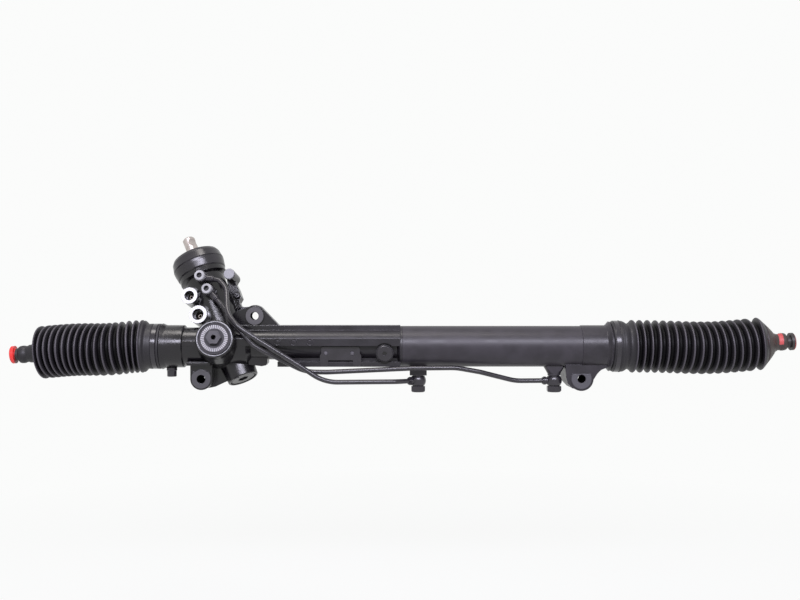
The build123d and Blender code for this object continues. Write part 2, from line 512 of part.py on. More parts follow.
def right_lug():
    """Lug under the right housing that reaches back beneath the cylinder."""
    frame = facing_front(RIGHT_LUG_X, 0, RIGHT_LUG_Z)
    low = RACK_Z - RIGHT_LUG_Z - CYLINDER_R
    arch = Circle(LUG_R + 1.5) + outline((-19.8, low + 6), (-18.8, 2.0), (-16.8, -5.8),
                                         (-10.8, -12.0), (10.0, -11.0), (15.2, -0.8), (19.8, 6.4),
                                         (24.4, 11.0), (33.0, low), (33.0, low + 6))
    face_r = LUG_R - 0.2
    pad = Circle(face_r) - Pos(0, RIGHT_PAD_TOP + face_r) * Rectangle(4 * face_r, 2 * face_r)
    return block(arch, -LUG_BACK, LUG_FRONT - LUG_PAD, frame) + block(pad, 0, LUG_FRONT, frame)


def end_housing():
    """Right casting: cylinder spigot, seal and bushing seats, bellows spigot and lug."""
    spigot = CYLINDER_RIGHT - SPIGOT_DEPTH
    body = turned([(0, spigot), (CYLINDER_BORE_R, spigot), (CYLINDER_BORE_R, CYLINDER_RIGHT),
                   (END_R - 0.6, CYLINDER_RIGHT), (END_R, CYLINDER_RIGHT + 0.6),
                   (END_R, RIGHT_CUFF[0] - END_FLARE), (END_R + 1.5, RIGHT_CUFF[0] - END_FLARE + 2),
                   (END_FLARE_R, RIGHT_CUFF[0] - 0.8), (END_FLARE_R - 0.5, RIGHT_CUFF[0]),
                   (RIGHT_SPIGOT_R, RIGHT_CUFF[0]), (RIGHT_SPIGOT_R, END_RIGHT - 1),
                   (RIGHT_SPIGOT_R - 1, END_RIGHT), (0, END_RIGHT)], RACK)
    body += right_lug() - rod(CYLINDER_R, HOUSING_RIGHT, CYLINDER_RIGHT, RACK)
    body -= rod(RACK_BORE_R, spigot - 1, END_RIGHT + 1, RACK)
    body -= rod(SEAL_R, spigot - 1, spigot + SEAL_WIDTH, RACK)
    body -= rod(BUSHING_R, END_RIGHT - BUSHING_WIDTH - 4, END_RIGHT - 4, RACK)
    return body - rod(RIGHT_LUG_HOLE_R, -LUG_BACK - 1, LUG_FRONT + 1,
                      facing_front(RIGHT_LUG_X, 0, RIGHT_LUG_Z))


def rack_bushing():
    return ring(BUSHING_R, RACK_R + FIT, END_RIGHT - BUSHING_WIDTH - 4, END_RIGHT - 4, RACK)


def rack_seal(low):
    """Lip seal round the rack, with its hollow to the pressure side."""
    high = low + SEAL_WIDTH
    lip = RACK_R + FIT
    return turned([(lip, low), (SEAL_R, low), (SEAL_R, high), (SEAL_R - 1.6, high),
                   (SEAL_R - 1.6, low + 2), (lip + 1.6, low + 2), (lip + 1.6, high),
                   (lip, high)], RACK)


# ---- rack, piston and ball housings -------------------------------------------------
def tooth_gap():
    """Space between two rack teeth, square to the teeth; y is the height on the rack."""
    flank = tan(radians(PRESSURE_ANGLE))
    low, high = RACK_ROOT, RACK_FLAT + 1.5
    half = [pi * NORMAL_MODULE / 4 + (y - RACK_PITCH_LINE) * flank for y in (low, high)]
    return outline((-half[0], low), (half[0], low), (half[1], high), (-half[1], high))


def rack_bar():
    """Round bar with a flat of slanted teeth on the side that faces the pinion."""
    bar = turned([(0, RACK_LEFT), (RACK_R - 1, RACK_LEFT), (RACK_R, RACK_LEFT + 1),
                  (RACK_R, RACK_RIGHT - 1), (RACK_R - 1, RACK_RIGHT), (0, RACK_RIGHT)], RACK)
    for side in (-1, 1):
        bar -= rod(RACK_SOCKET_R, -RACK_SOCKET_DEPTH, 1, rack_end(side))
    reach = ceil((TRAVEL_LEFT + TRAVEL_RIGHT + 2 * RACK_R) / RACK_PITCH / 2)
    shift = round((TRAVEL_LEFT - TRAVEL_RIGHT) / 2 / RACK_PITCH)
    across = Vector(1, 0, 0).cross(YOKE_DIR) * -1
    slant = across * cos(TOOTH_SLANT) + Vector(sin(TOOTH_SLANT), 0, 0)
    square = Vector(cos(TOOTH_SLANT), 0, 0) - across * sin(TOOTH_SLANT)
    middle = PINION_X + shift * RACK_PITCH
    back = Plane(origin=(middle, 0, RACK_Z), x_dir=(1, 0, 0), z_dir=-YOKE_DIR)
    flat = Rectangle((2 * reach + 1) * RACK_PITCH, 3 * RACK_R)
    bar -= block(flat, RACK_FLAT, 2 * RACK_R, back)
    gap = extrude(tooth_gap(), amount=1.6 * RACK_R, both=True)
    cuts = [Plane(origin=(PINION_X + (shift + i) * RACK_PITCH, 0, RACK_Z), x_dir=square,
                  z_dir=slant).location * gap for i in range(-reach, reach + 1)]
    return bar - cuts


def piston():
    """Piston with a ring groove, held between two snap rings on the rack."""
    half = PISTON_WIDTH / 2
    r = CYLINDER_BORE_R - 0.2
    return turned([(RACK_R, PISTON_X - half), (r, PISTON_X - half), (r, PISTON_X - 3),
                   (r - 2.5, PISTON_X - 3), (r - 2.5, PISTON_X + 3), (r, PISTON_X + 3),
                   (r, PISTON_X + half), (RACK_R, PISTON_X + half)], RACK)


def piston_ring():
    return ring(CYLINDER_BORE_R - FIT, CYLINDER_BORE_R - 2.6, PISTON_X - 2.9, PISTON_X + 2.9, RACK)


def piston_snap_rings():
    """A snap ring against each face of the piston."""
    half = PISTON_WIDTH / 2
    return [ring(RACK_R + 1.4, RACK_R, PISTON_X + side * (half + 0.9) - 0.9,
                 PISTON_X + side * (half + 0.9) + 0.9, RACK) for side in (-1, 1)]


def ball_housing(side):
    """Cup for the inner ball, with its threaded shank in the rack's end."""
    frame = rack_end(side)
    lip = BALL_SET_BACK + 9.0
    r = BALL_HOUSING_R
    outer = turned([(0, -RACK_SOCKET_DEPTH + 2), (RACK_SOCKET_R - 1, -RACK_SOCKET_DEPTH + 2),
                    (RACK_SOCKET_R, -RACK_SOCKET_DEPTH + 3), (RACK_SOCKET_R, LOCK_WASHER),
                    (r - 2, LOCK_WASHER), (r - 1, LOCK_WASHER + 1), (r - 1, 12), (r, 13),
                    (r, lip - 3), (r - 3, lip), (0, lip)], frame)
    outer -= turned_sphere(BALL_R + SEAT, BALL_SET_BACK, frame)
    mouth = (BALL_R - 2.4, lip + 1)
    return outer - turned([(0, BALL_SET_BACK), (mouth[0], BALL_SET_BACK), mouth,
                           (0, mouth[1])], frame)


def turned_sphere(radius, height, frame):
    return frame.location * (Pos(0, 0, height) * Sphere(radius))


def ball_seat(side):
    """Plastic seat round the back and belt of the ball."""
    frame = rack_end(side)
    seat = turned_sphere(BALL_R + SEAT, BALL_SET_BACK, frame)
    seat -= turned_sphere(BALL_R + FIT, BALL_SET_BACK, frame)
    top = BALL_SET_BACK + 7.5
    return seat - rod(2 * BALL_R, top, top + 30, frame)


def lock_washer(side):
    """Tabbed washer between the rack's end and the ball housing."""
    return ring(RACK_R + 2.5, RACK_SOCKET_R, 0, LOCK_WASHER, rack_end(side))


# ---- tie rods -----------------------------------------------------------------------
def tie_rod(side):
    """Ball, neck and short rod with a threaded socket for the outer rod."""
    frame = rod_frame(side)
    end = LEFT_ROD_END if side < 0 else RIGHT_ROD_END
    neck = ROD_R - 1.5
    body = turned([(0, 0), (neck, 0), (neck, BALL_R + 8), (ROD_R, BALL_R + 12), (ROD_R, end - 1),
                   (ROD_R - 1, end), (0, end)], frame) + frame.location * Sphere(BALL_R)
    body -= rod(ROD_SOCKET_R, end - ROD_SOCKET_DEPTH, end + 1, frame)
    flat = Plane(origin=frame.origin, x_dir=frame.x_dir, z_dir=-frame.z_dir)
    return body - rod(2 * BALL_R, BALL_R - 2, BALL_R + 2, flat)


def rod_plug(side):
    """Flanged transit plug in the rod's socket."""
    end = LEFT_ROD_END if side < 0 else RIGHT_ROD_END
    face = end + PLUG_WAIST
    return turned([(0, end - ROD_SOCKET_DEPTH + 2), (STEM_R, end - ROD_SOCKET_DEPTH + 2),
                   (STEM_R, end), (PLUG_WAIST_R, end), (PLUG_WAIST_R, face), (PLUG_R, face),
                   (PLUG_R, face + PLUG_FLANGE - 1), (PLUG_R - 1, face + PLUG_FLANGE),
                   (PLUG_R - 3, face + PLUG_FLANGE), (PLUG_R - 3, face + 1.5),
                   (0, face + 1.5)], rod_frame(side))


# ---- bellows ------------------------------------------------------------------------
def bellows(side):
    """Cuff on the housing, convolutions along a leaning axis, and a neck on the rod."""
    base, width, radius = cuff_place(side)
    start = base.from_local_coords(Vector(0, 0, width))
    neck = offset_along(rod_frame(side), LEFT_NECK if side < 0 else RIGHT_NECK)
    axis = Plane(origin=start, x_dir=(0, 1, 0), z_dir=neck.origin - start)
    skin = convoluted((neck.origin - start).length, side, axis)
    skin += bellows_cuff(radius, width, SPIGOT_R if side < 0 else RIGHT_SPIGOT_R, base)
    bore = ROD_R + SOFT_GAP
    return skin + turned([(bore, -3), (NECK_R, -3), (NECK_R, NECK_LENGTH - 5),
                          (NECK_R + 0.8, NECK_LENGTH - 4), (NECK_R + 0.8, NECK_LENGTH - 1),
                          (NECK_R, NECK_LENGTH), (bore, NECK_LENGTH)], neck)


def cuff_place(side):
    """A cuff's frame, pointing outwards from its inner edge, with its width and radius."""
    low, high = LEFT_CUFF if side < 0 else RIGHT_CUFF
    frame = Plane(origin=(high if side < 0 else low, 0, RACK_Z), x_dir=(0, 1, 0),
                  z_dir=(side, 0, 0))
    return frame, high - low, LEFT_CUFF_R if side < 0 else RIGHT_CUFF_R


def bellows_cuff(radius, width, spigot, base):
    """Cuff with a clamp groove and a thick shoulder that the convolutions start from."""
    inside = spigot + SOFT_GAP
    groove_end = CUFF_EDGE + CLAMP_WIDTH
    shoulder = BELLOWS_VALLEY_R + 2
    throat = BELLOWS_VALLEY_R - BELLOWS_WALL / 2
    return turned([(inside, SOFT_GAP), (radius - 0.8, SOFT_GAP), (radius, 1),
                   (radius, CUFF_EDGE - 1), (radius - 1, CUFF_EDGE), (radius - 1, groove_end),
                   (radius, groove_end + 1), (radius, width - 5), (shoulder, width - 2),
                   (shoulder, width + 2.5), (throat, width + 2.5), (throat, width - 0.5),
                   (inside, width - 0.5)], base)


def offset_along(frame, distance):
    """The same frame, moved along its z axis."""
    return Plane(origin=frame.from_local_coords(Vector(0, 0, distance)), x_dir=frame.x_dir,
                 z_dir=frame.z_dir)


def crest_places(first, last, swell):
    """Heights of the crests, wider spaced where the bellows is stretched."""
    gaps = [1 + swell * exp(-((i / CONVOLUTIONS - SWELL_AT) / SWELL_REACH) ** 2)
            for i in range(CONVOLUTIONS - 1)]
    return [first + (last - first) * sum(gaps[:i]) / sum(gaps) for i in range(CONVOLUTIONS)]


def convoluted(length, side, axis):
    """Bellows skin, from inside the cuff's shoulder to inside the neck's bead."""
    first, last_gap = CREST_ENDS[side]
    crests = crest_places(first, length - last_gap, LEFT_SWELL if side < 0 else 0)
    outer = [(BELLOWS_VALLEY_R, 0.2)]
    for here, after in zip(crests, crests[1:] + [2 * crests[-1] - crests[-2]]):
        outer += [(BELLOWS_R, here - CREST / 2), (BELLOWS_R, here + CREST / 2),
                  (BELLOWS_VALLEY_R, (here + after) / 2)]
    inside = BELLOWS_VALLEY_R - BELLOWS_WALL
    ends = [(NECK_R + 1, length - 0.5), (NECK_R + 1, length + 0.5), (NECK_R - 1, length + 0.5),
            (NECK_R - 1, length - 0.5)]
    return turned(outer[:-1] + ends + [(inside, length - last_gap), (inside, 0.2)], axis)


def large_clamps():
    """A band clamp in each cuff's groove."""
    clamps = []
    for side in (-1, 1):
        base, _, radius = cuff_place(side)
        inner = radius - 1 + SOFT_GAP / 3
        clamps.append(ring(inner + CLAMP_THICK, inner, CUFF_EDGE + SOFT_GAP,
                           CUFF_EDGE + CLAMP_WIDTH - SOFT_GAP, base))
    return clamps


# ---- pinion, valve and cap ----------------------------------------------------------
def involute_point(radius, shift):
    """Point on the involute flank whose foot lies at the angle -shift."""
    roll = sqrt(max((radius / BASE_R) ** 2 - 1, 0))
    angle = roll - atan2(roll, 1) - shift
    return Vector(radius * cos(angle), radius * sin(angle))


def tooth_face():
    """One pinion tooth on +X, in the plane across the pinion's axis."""
    module = NORMAL_MODULE / cos(radians(PINION_HELIX))
    thickness = module * pi / 2 + 2 * PROFILE_SHIFT * tan(TRANSVERSE_ANGLE)
    half = thickness / 2 / PITCH_R - FLANK_CLEARANCE / BASE_R
    shift = half + tan(TRANSVERSE_ANGLE) - TRANSVERSE_ANGLE
    radii = [BASE_R + (PINION_TIP_R - BASE_R) * (i / 4) ** 1.5 for i in range(5)]
    lower = [involute_point(r, shift) for r in radii]
    upper = [Vector(v.X, -v.Y) for v in lower]
    foot = Vector(BASE_R / 2 * cos(shift), -BASE_R / 2 * sin(shift))
    foot_up = Vector(foot.X, -foot.Y)
    edges = [Line(foot, lower[0]), Spline(*lower),
             ThreePointArc(lower[-1], Vector(PINION_TIP_R, 0), upper[-1]),
             Spline(*reversed(upper)), Line(upper[0], foot_up), Line(foot_up, foot)]
    return make_face(edges)


def pinion_teeth():
    """Right-hand helical teeth, one of them facing the rack at mid length."""
    section = Sketch() + Circle(PINION_ROOT_R)
    for i in range(PINION_TEETH):
        section += Rot(0, 0, 360 * i / PINION_TEETH) * tooth_face()
    twist = degrees(2 * PINION_HALF * tan(radians(PINION_HELIX)) / PITCH_R)
    teeth = Solid.extrude_linear_with_rotation(
        section.faces()[0], center=(0, 0, 0), normal=(0, 0, 2 * PINION_HALF), angle=twist)
    to_rack = TOWER.to_local_coords(TOWER.origin + YOKE_DIR)
    start = degrees(atan2(to_rack.Y, to_rack.X)) - twist / 2
    return Pos(0, 0, -PINION_HALF) * Rot(0, 0, start) * teeth


def stop_slot():
    """Bow-tie slot that lets the shaft's tongue turn by the valve's limit each way."""
    slot = Sketch() + Circle(TORSION_BAR_R + 1)
    for angle in (-TORSION_LIMIT - 0.5, 0, TORSION_LIMIT + 0.5):
        slot += Rot(0, 0, angle) * Rectangle(2 * TONGUE_R + 0.2, TONGUE_WIDTH + 0.2)
    return slot


def pinion():
    """Pinion shaft: threaded stub, bearing seat, teeth, journal and valve cup."""
    flange_r = VALVE_BORE_R - 2
    shaft = turned([(0, STUB_END), (NUT_R, STUB_END), (NUT_R, BEARING_LOW),
                    (BEARING_BORE_R, BEARING_LOW), (BEARING_BORE_R, BEARING_TOP),
                    (PINION_ROOT_R, BEARING_TOP), (PINION_ROOT_R, PINION_HALF + 2),
                    (JOURNAL_R, NEEDLE_LOW - 1), (JOURNAL_R, SLEEVE_LOW - 4),
                    (flange_r, SLEEVE_LOW - 4), (flange_r, SLEEVE_LOW), (0, SLEEVE_LOW)],
                   Plane.XY)
    body = shaft + pinion_teeth()
    body -= block(stop_slot(), SLEEVE_LOW - CUP_DEPTH, SLEEVE_LOW + 1, Plane.XY)
    body -= rod(TORSION_BAR_R, TORSION_BAR_LOW, SLEEVE_LOW, Plane.XY)
    return TOWER.location * body


def pinion_nut():
    nut = block(hexagon(NUT_FLATS), BEARING_LOW - NUT_WIDTH, BEARING_LOW, TOWER)
    return nut - rod(NUT_R, STUB_END, BEARING_LOW + 1, TOWER)


def ball_track():
    """Ring space that the bearing's balls run in."""
    middle = (BEARING_R + BEARING_BORE_R) / 2
    return torus_ring(middle, BALL_TRACK_R + FIT, BEARING_TOP - BEARING_WIDTH / 2, TOWER)


def bearing_outer_race():
    return ring(BEARING_R, BEARING_R - RACE, BEARING_LOW, BEARING_TOP, TOWER) - ball_track()


def bearing_inner_race():
    return ring(BEARING_BORE_R + RACE, BEARING_BORE_R, BEARING_LOW, BEARING_TOP,
                TOWER) - ball_track()


def bearing_balls():
    """The ball bearing's balls, evenly spaced."""
    middle = (BEARING_R + BEARING_BORE_R) / 2
    height = BEARING_TOP - BEARING_WIDTH / 2
    return [TOWER.location * Rot(0, 0, 360 * i / BEARING_BALLS) * Pos(middle, 0, height)
            * Sphere(BALL_TRACK_R) for i in range(BEARING_BALLS)]


def pinion_end_cap():
    """Screwed cap that closes the pinion boss, with a hexagon recess and a locking tab."""
    seat = PINION_BOSS_END + END_CAP_SINK
    face = PINION_BOSS_END + 0.6
    cap = turned([(0, STUB_END - 1.5), (BEARING_R, STUB_END - 1.5), (BEARING_R, seat),
                  (END_CAP_R, seat), (END_CAP_R, face + 0.8), (END_CAP_R - 1.5, face + 0.8),
                  (END_CAP_R - 2, face), (0, face)], TOWER)
    cap -= block(hexagon(END_CAP_HEX), face - 1, seat + 0.8, TOWER)
    tab = Pos(END_CAP_R + END_TAB / 2, 0) * Rectangle(2 * END_TAB, END_TAB_WIDTH)
    return cap + TOWER.location * Rot(0, 0, END_TAB_AT) * block(
        tab, PINION_BOSS_END - 1.2, PINION_BOSS_END, Plane.XY)


def needle_bearing():
    return ring(NEEDLE_R, JOURNAL_R + FIT, NEEDLE_LOW + 1, NEEDLE_LOW + 1 + NEEDLE_WIDTH, TOWER)


def pinion_seal():
    low = NEEDLE_LOW + NEEDLE_WIDTH + 1.5
    return ring(NEEDLE_R, JOURNAL_R + FIT, low, VALVE_FLOOR, TOWER)


def ring_heights():
    """Middle heights of the sleeve's seal rings."""
    step = (SLEEVE_HIGH - SLEEVE_LOW) / SLEEVE_RINGS
    return [SLEEVE_LOW + (i + 0.5) * step for i in range(SLEEVE_RINGS)]


def valve_sleeve():
    """Sleeve seated on the pinion's flange, with seal grooves and oil holes."""
    sleeve = ring(SLEEVE_R, SLEEVE_BORE_R + FIT, SLEEVE_LOW, SLEEVE_HIGH, TOWER)
    half = SLEEVE_RING_WIDTH / 2
    for z in ring_heights():
        sleeve -= ring(SLEEVE_R + 1, SLEEVE_GROOVE_R, z - half, z + half, TOWER)
    for i, z in enumerate(ring_heights()[:-1]):
        level = z + (SLEEVE_HIGH - SLEEVE_LOW) / SLEEVE_RINGS / 2
        across = Pos(0, 0, level) * Rot(0, 0, 60 * i) * Rot(90, 0, 0)
        sleeve -= TOWER.location * across * rod(1.6, -SLEEVE_R - 1, SLEEVE_R + 1, Plane.XY)
    return sleeve


def sleeve_rings():
    half = SLEEVE_RING_WIDTH / 2 - FIT
    return [ring(VALVE_BORE_R - FIT, SLEEVE_GROOVE_R, z - half, z + half, TOWER)
            for z in ring_heights()]


def torsion_bar():
    """Bar from the pinion up to the pin in the input shaft, waisted between its ends."""
    waist = TORSION_BAR_R - 0.7
    bar = turned([(0, TORSION_BAR_LOW), (TORSION_BAR_R, TORSION_BAR_LOW),
                  (TORSION_BAR_R, SLEEVE_LOW - CUP_DEPTH), (waist, SLEEVE_LOW - 4),
                  (waist, TORSION_PIN_HEIGHT - 12), (TORSION_BAR_R, TORSION_PIN_HEIGHT - 8),
                  (TORSION_BAR_R, TORSION_BAR_TOP), (0, TORSION_BAR_TOP)], TOWER)
    return bar - rod(TORSION_PIN_R, -SHAFT_R, SHAFT_R, on_tower((0, TORSION_PIN_HEIGHT), 0))


def torsion_pin():
    return rod(TORSION_PIN_R, 0.4 - CLAMP_R, CLAMP_R - 0.4, on_tower((0, TORSION_PIN_HEIGHT), 0))


def input_shaft():
    """Hollow shaft: stop tongue, grooved valve land, journal and clamped end."""
    land_top = SLEEVE_HIGH - 1
    tongue_low = SLEEVE_LOW - CUP_DEPTH + 0.5
    shaft = turned([(0, SLEEVE_LOW + 0.5), (SLEEVE_BORE_R, SLEEVE_LOW + 0.5),
                    (SLEEVE_BORE_R, land_top), (SHAFT_JOURNAL_R, land_top + 1.5),
                    (SHAFT_JOURNAL_R, CAP_TOP + SHAFT_SHOULDER),
                    (SHAFT_R, CAP_TOP + SHAFT_SHOULDER), (SHAFT_R, SHAFT_SEAT_TOP),
                    (CLAMP_R, SHAFT_SEAT_TOP), (CLAMP_R, SHAFT_TOP - 2),
                    (CLAMP_R - 2, SHAFT_TOP), (0, SHAFT_TOP)], Plane.XY)
    tongue = block(Rectangle(2 * TONGUE_R, TONGUE_WIDTH), tongue_low, SLEEVE_LOW + 1, Plane.XY)
    shaft += tongue & rod(TONGUE_R, tongue_low, SLEEVE_LOW + 1, Plane.XY)
    groove = Pos(SLEEVE_BORE_R, 0) * Circle(1.4)
    for i in range(6):
        shaft -= Rot(0, 0, 60 * i + 15) * block(groove, SLEEVE_LOW + 6, land_top - 6, Plane.XY)
    shaft -= rod(TORSION_BAR_R + 2 * FIT, tongue_low - 1, TORSION_BAR_TOP + 0.5, Plane.XY)
    clamp_flat = Pos(SHAFT_FLAT + 5, 0) * Rectangle(10, 3 * SHAFT_R)
    shaft -= Rot(0, 0, FLAT_TURN) * block(clamp_flat, SHAFT_SEAT_TOP + FLAT_GAP,
                                                   SHAFT_TOP + 1, Plane.XY)
    notch = Plane(origin=(SHAFT_FLAT + NOTCH_R - NOTCH_DEPTH, 0, SHAFT_TOP - NOTCH_DROP),
                  x_dir=(1, 0, 0), z_dir=(0, 1, 0))
    shaft -= Rot(0, 0, FLAT_TURN) * rod(NOTCH_R, -SHAFT_R, SHAFT_R, notch)
    return TOWER.location * shaft - rod(TORSION_PIN_R, -SHAFT_R - 1, SHAFT_R + 1,
                                        on_tower((0, TORSION_PIN_HEIGHT), 0))


def valve_cap():
    """Round grooved cover over the valve, with a spigot in the tower's bore."""
    groove_low, groove_high = CAP_GROOVE_AT - CAP_GROOVE, CAP_GROOVE_AT + CAP_GROOVE
    seal_low = CAP_BEARING_LOW + CAP_BEARING_WIDTH + 1
    spigot = VALVE_TOP - CAP_SPIGOT
    wall = CAP_R - 4
    inner = [(SHAFT_JOURNAL_R + 0.8, CAP_TOP), (CAP_BEARING_R, CAP_TOP - 2.5), (CAP_BEARING_R, seal_low),
             (CAP_BEARING_R - 2, seal_low), (CAP_BEARING_R - 2, seal_low - 1),
             (CAP_BEARING_R, seal_low - 1), (CAP_BEARING_R, spigot)]
    outer = [(VALVE_BORE_R, spigot), (VALVE_BORE_R, VALVE_TOP), (CAP_LOW_R - 1, VALVE_TOP),
             (CAP_LOW_R, VALVE_TOP + 1), (CAP_R - 0.4, CAP_GROOVE_AT - 4),
             (CAP_R, groove_low), (CAP_R - CAP_GROOVE, CAP_GROOVE_AT), (CAP_R, groove_high),
             (CAP_TOP_R + 1, CAP_TOP - 5), (CAP_TOP_R - 1, CAP_TOP - 1.6),
             (CAP_TOP_R - 4, CAP_TOP)]
    cap = turned(inner + outer, TOWER)
    hollow = turned([(CAP_BEARING_R + 4, VALVE_TOP + 4), (wall, VALVE_TOP + 4),
                     (wall, CAP_TOP - 8), (CAP_BEARING_R + 4, CAP_TOP - 8)], TOWER)
    return cap - hollow


def shaft_bearing():
    return ring(CAP_BEARING_R, SHAFT_JOURNAL_R + FIT, CAP_BEARING_LOW,
                CAP_BEARING_LOW + CAP_BEARING_WIDTH, TOWER)


def shaft_seal():
    low = CAP_BEARING_LOW + CAP_BEARING_WIDTH + 1
    return ring(CAP_BEARING_R, SHAFT_JOURNAL_R + FIT, low, low + CAP_SEAL_WIDTH, TOWER)


# ---- yoke ---------------------------------------------------------------------------
def yoke_wrap(radius):
    """Everything within this radius of the rack's axis, near the yoke."""
    return rod(radius, YOKE_X - 2 * YOKE_R, YOKE_X + 2 * YOKE_R, RACK)


def yoke():
    """Round slipper with a hollow face for the rack and a pocket for its spring."""
    body = rod(YOKE_R, YOKE_LOW, YOKE_BACK, YOKE) - yoke_wrap(RACK_R + LINER)
    body -= rod(SPRING_POCKET_R, SPRING_LOW, YOKE_BACK + 1, YOKE)
    return body - ring(YOKE_R + 1, YOKE_R - 2 * O_RING_R, O_RING_AT - 1.2 * O_RING_R,
                       O_RING_AT + 1.2 * O_RING_R, YOKE)


def yoke_liner():
    """Low-friction strip between the yoke and the rack's back."""
    strip = rod(YOKE_R - 1, YOKE_LOW, RACK_R + LINER, YOKE) & yoke_wrap(RACK_R + LINER)
    return strip - yoke_wrap(RACK_R + FIT)


def yoke_spring():
    """Closed coil between the yoke's pocket and the adjuster."""
    high = YOKE_FACE - ADJUSTER_DEPTH - SPRING_WIRE_R
    low = SPRING_LOW + SPRING_WIRE_R
    path = Helix(pitch=(high - low) / SPRING_COILS, height=high - low, radius=SPRING_R)
    wire = sweep(Plane(path @ 0, z_dir=path % 0) * Circle(SPRING_WIRE_R), path=path)
    return YOKE.location * Pos(0, 0, low) * wire


def yoke_adjuster():
    """Screwed plug with a ring of notches and a hexagon."""
    top = YOKE_FACE + ADJUSTER_PROUD
    low = YOKE_FACE - ADJUSTER_DEPTH
    plug = turned([(0, low), (ADJUSTER_R, low), (ADJUSTER_R, top - 0.6),
                   (ADJUSTER_R - 0.6, top), (0, top)], YOKE)
    plug += block(hexagon(ADJUSTER_HEX), top, top + ADJUSTER_HEX_HIGH, YOKE)
    plug -= rod(ADJUSTER_HOLE_R, low + 3, top + ADJUSTER_HEX_HIGH + 1, YOKE)
    notch = Pos(ADJUSTER_R - NOTCH_LENGTH / 2, 0, top) * Box(NOTCH_LENGTH, NOTCH_WIDTH, 2 * NOTCH_SINK)
    cuts = [YOKE.location * Rot(0, 0, 360 * i / ADJUSTER_NOTCHES) * notch
            for i in range(ADJUSTER_NOTCHES)]
    return plug - cuts


def yoke_lock_ring():
    """Low ring round the adjuster, with a raised rim that has four key notches."""
    rim = LOCK_RING_R - LOCK_RIM_WIDTH
    bore = ADJUSTER_R + FIT
    flat = turned([(bore, YOKE_FACE), (LOCK_RING_R, YOKE_FACE), (LOCK_RING_R, YOKE_FACE + LOCK_RIM),
                   (rim, YOKE_FACE + LOCK_RIM), (rim, YOKE_FACE + LOCK_RING),
                   (bore, YOKE_FACE + LOCK_RING)], YOKE)
    notch = Pos(LOCK_RING_R, 0, YOKE_FACE + LOCK_RING + LOCK_RIM) * Box(3.2, 2.6, 2 * LOCK_RIM)
    return flat - [YOKE.location * Rot(0, 0, angle) * notch for angle in LOCK_NOTCHES]


# ---- unions and pipes ---------------------------------------------------------------
def banjo(drum, height, frame, toward, neck_r, reach):
    """Ring fitting made from its drum, with a collared neck toward a point."""
    middle = frame.from_local_coords(Vector(0, 0, height / 2))
    neck = Plane(origin=middle, z_dir=toward - middle)
    body = drum + rod(neck_r, 0, reach, neck)
    body += rod(neck_r + COLLAR_LIP, reach - COLLAR_BACK - COLLAR_WIDTH, reach - COLLAR_BACK, neck)
    return body - rod(UNION_THREAD_R, -1, height + 1, frame)


def valve_banjo(frame, toward):
    """Banjo on the tower, a short drum with chamfered edges."""
    drum = turned([(0, 0), (BANJO_R - 0.6, 0), (BANJO_R, 0.8), (BANJO_R, BANJO_HEIGHT - 0.8),
                   (BANJO_R - 0.6, BANJO_HEIGHT), (0, BANJO_HEIGHT)], frame)
    return banjo(drum, BANJO_HEIGHT, frame, toward, BANJO_NECK_R, BANJO_NECK)


def cylinder_banjo(frame, toward):
    """Banjo under the cylinder, a ball flattened at top and bottom."""
    ball = turned_sphere(BALL_BANJO_R, BALL_BANJO_HEIGHT / 2, frame)
    ball &= rod(BALL_BANJO_R + 1, 0, BALL_BANJO_HEIGHT, frame)
    return banjo(ball, BALL_BANJO_HEIGHT, frame, toward, FERRULE_R, FERRULE_REACH)


def neck_end(frame, toward, reach, height):
    """Where the pipe leaves a banjo's neck."""
    middle = frame.from_local_coords(Vector(0, 0, height / 2))
    return middle + (toward - middle).normalized() * reach


def washers(frame, height):
    """Sealing washers below and above a banjo."""
    return [ring(WASHER_R, UNION_THREAD_R, z, z + WASHER, frame) for z in (0, WASHER + height)]


def union_bolt(frame):
    """Socket-head union bolt through a banjo on the valve."""
    seat = 2 * WASHER + BANJO_HEIGHT
    bolt = turned([(0, 1 - UNION_DEPTH), (UNION_THREAD_R, 1 - UNION_DEPTH), (UNION_THREAD_R, seat),
                   (UNION_HEAD_R, seat), (UNION_HEAD_R, seat + UNION_HEAD - 0.8),
                   (UNION_HEAD_R - 0.8, seat + UNION_HEAD), (0, seat + UNION_HEAD)], frame)
    return bolt - block(hexagon(UNION_HEX), seat + 0.8, seat + UNION_HEAD + 1, frame)


def hex_bolt(frame):
    """Hexagon-head union bolt under the cylinder, its head's corners turned off."""
    seat = 2 * WASHER + BALL_BANJO_HEIGHT
    bolt = rod(UNION_THREAD_R, -CYLINDER_BOSS_DROP + CYLINDER_R + 1, seat, frame)
    head = Rot(0, 0, 30) * hexagon(CYLINDER_HEX)
    wide = CYLINDER_HEX / sqrt(3)
    top = seat + HEX_HEAD
    crown = turned([(0, seat - 1), (wide - 1, seat - 1), (wide - 1, seat), (wide + 0.1, seat + 1.2),
                    (wide + 0.1, top - 2.2), (CYLINDER_HEX / 2 - 0.8, top), (0, top)], frame)
    return bolt + (block(head, seat, top, frame) & crown)


def bend_radii(points):
    """For each corner, 0.45 of its shorter run over the tangent of half its turn."""
    radii = []
    for a, b, c in zip(points, points[1:], points[2:]):
        turn = radians((b - a).get_angle(c - b))
        radii.append(0.45 * min((b - a).length, (c - b).length) / tan(turn / 2))
    return radii


def pipe(points):
    """Steel tube along straight runs joined by bends."""
    points = [Vector(*p) for p in points]
    radii = [min(r, MAX_BEND) for r in bend_radii(points)]
    print("pipe bends", [round(r, 1) for r in radii])
    path = FilletPolyline(*points, radius=radii)
    return sweep(Plane(path @ 0, z_dir=path % 0) * Circle(PIPE_R), path=path)


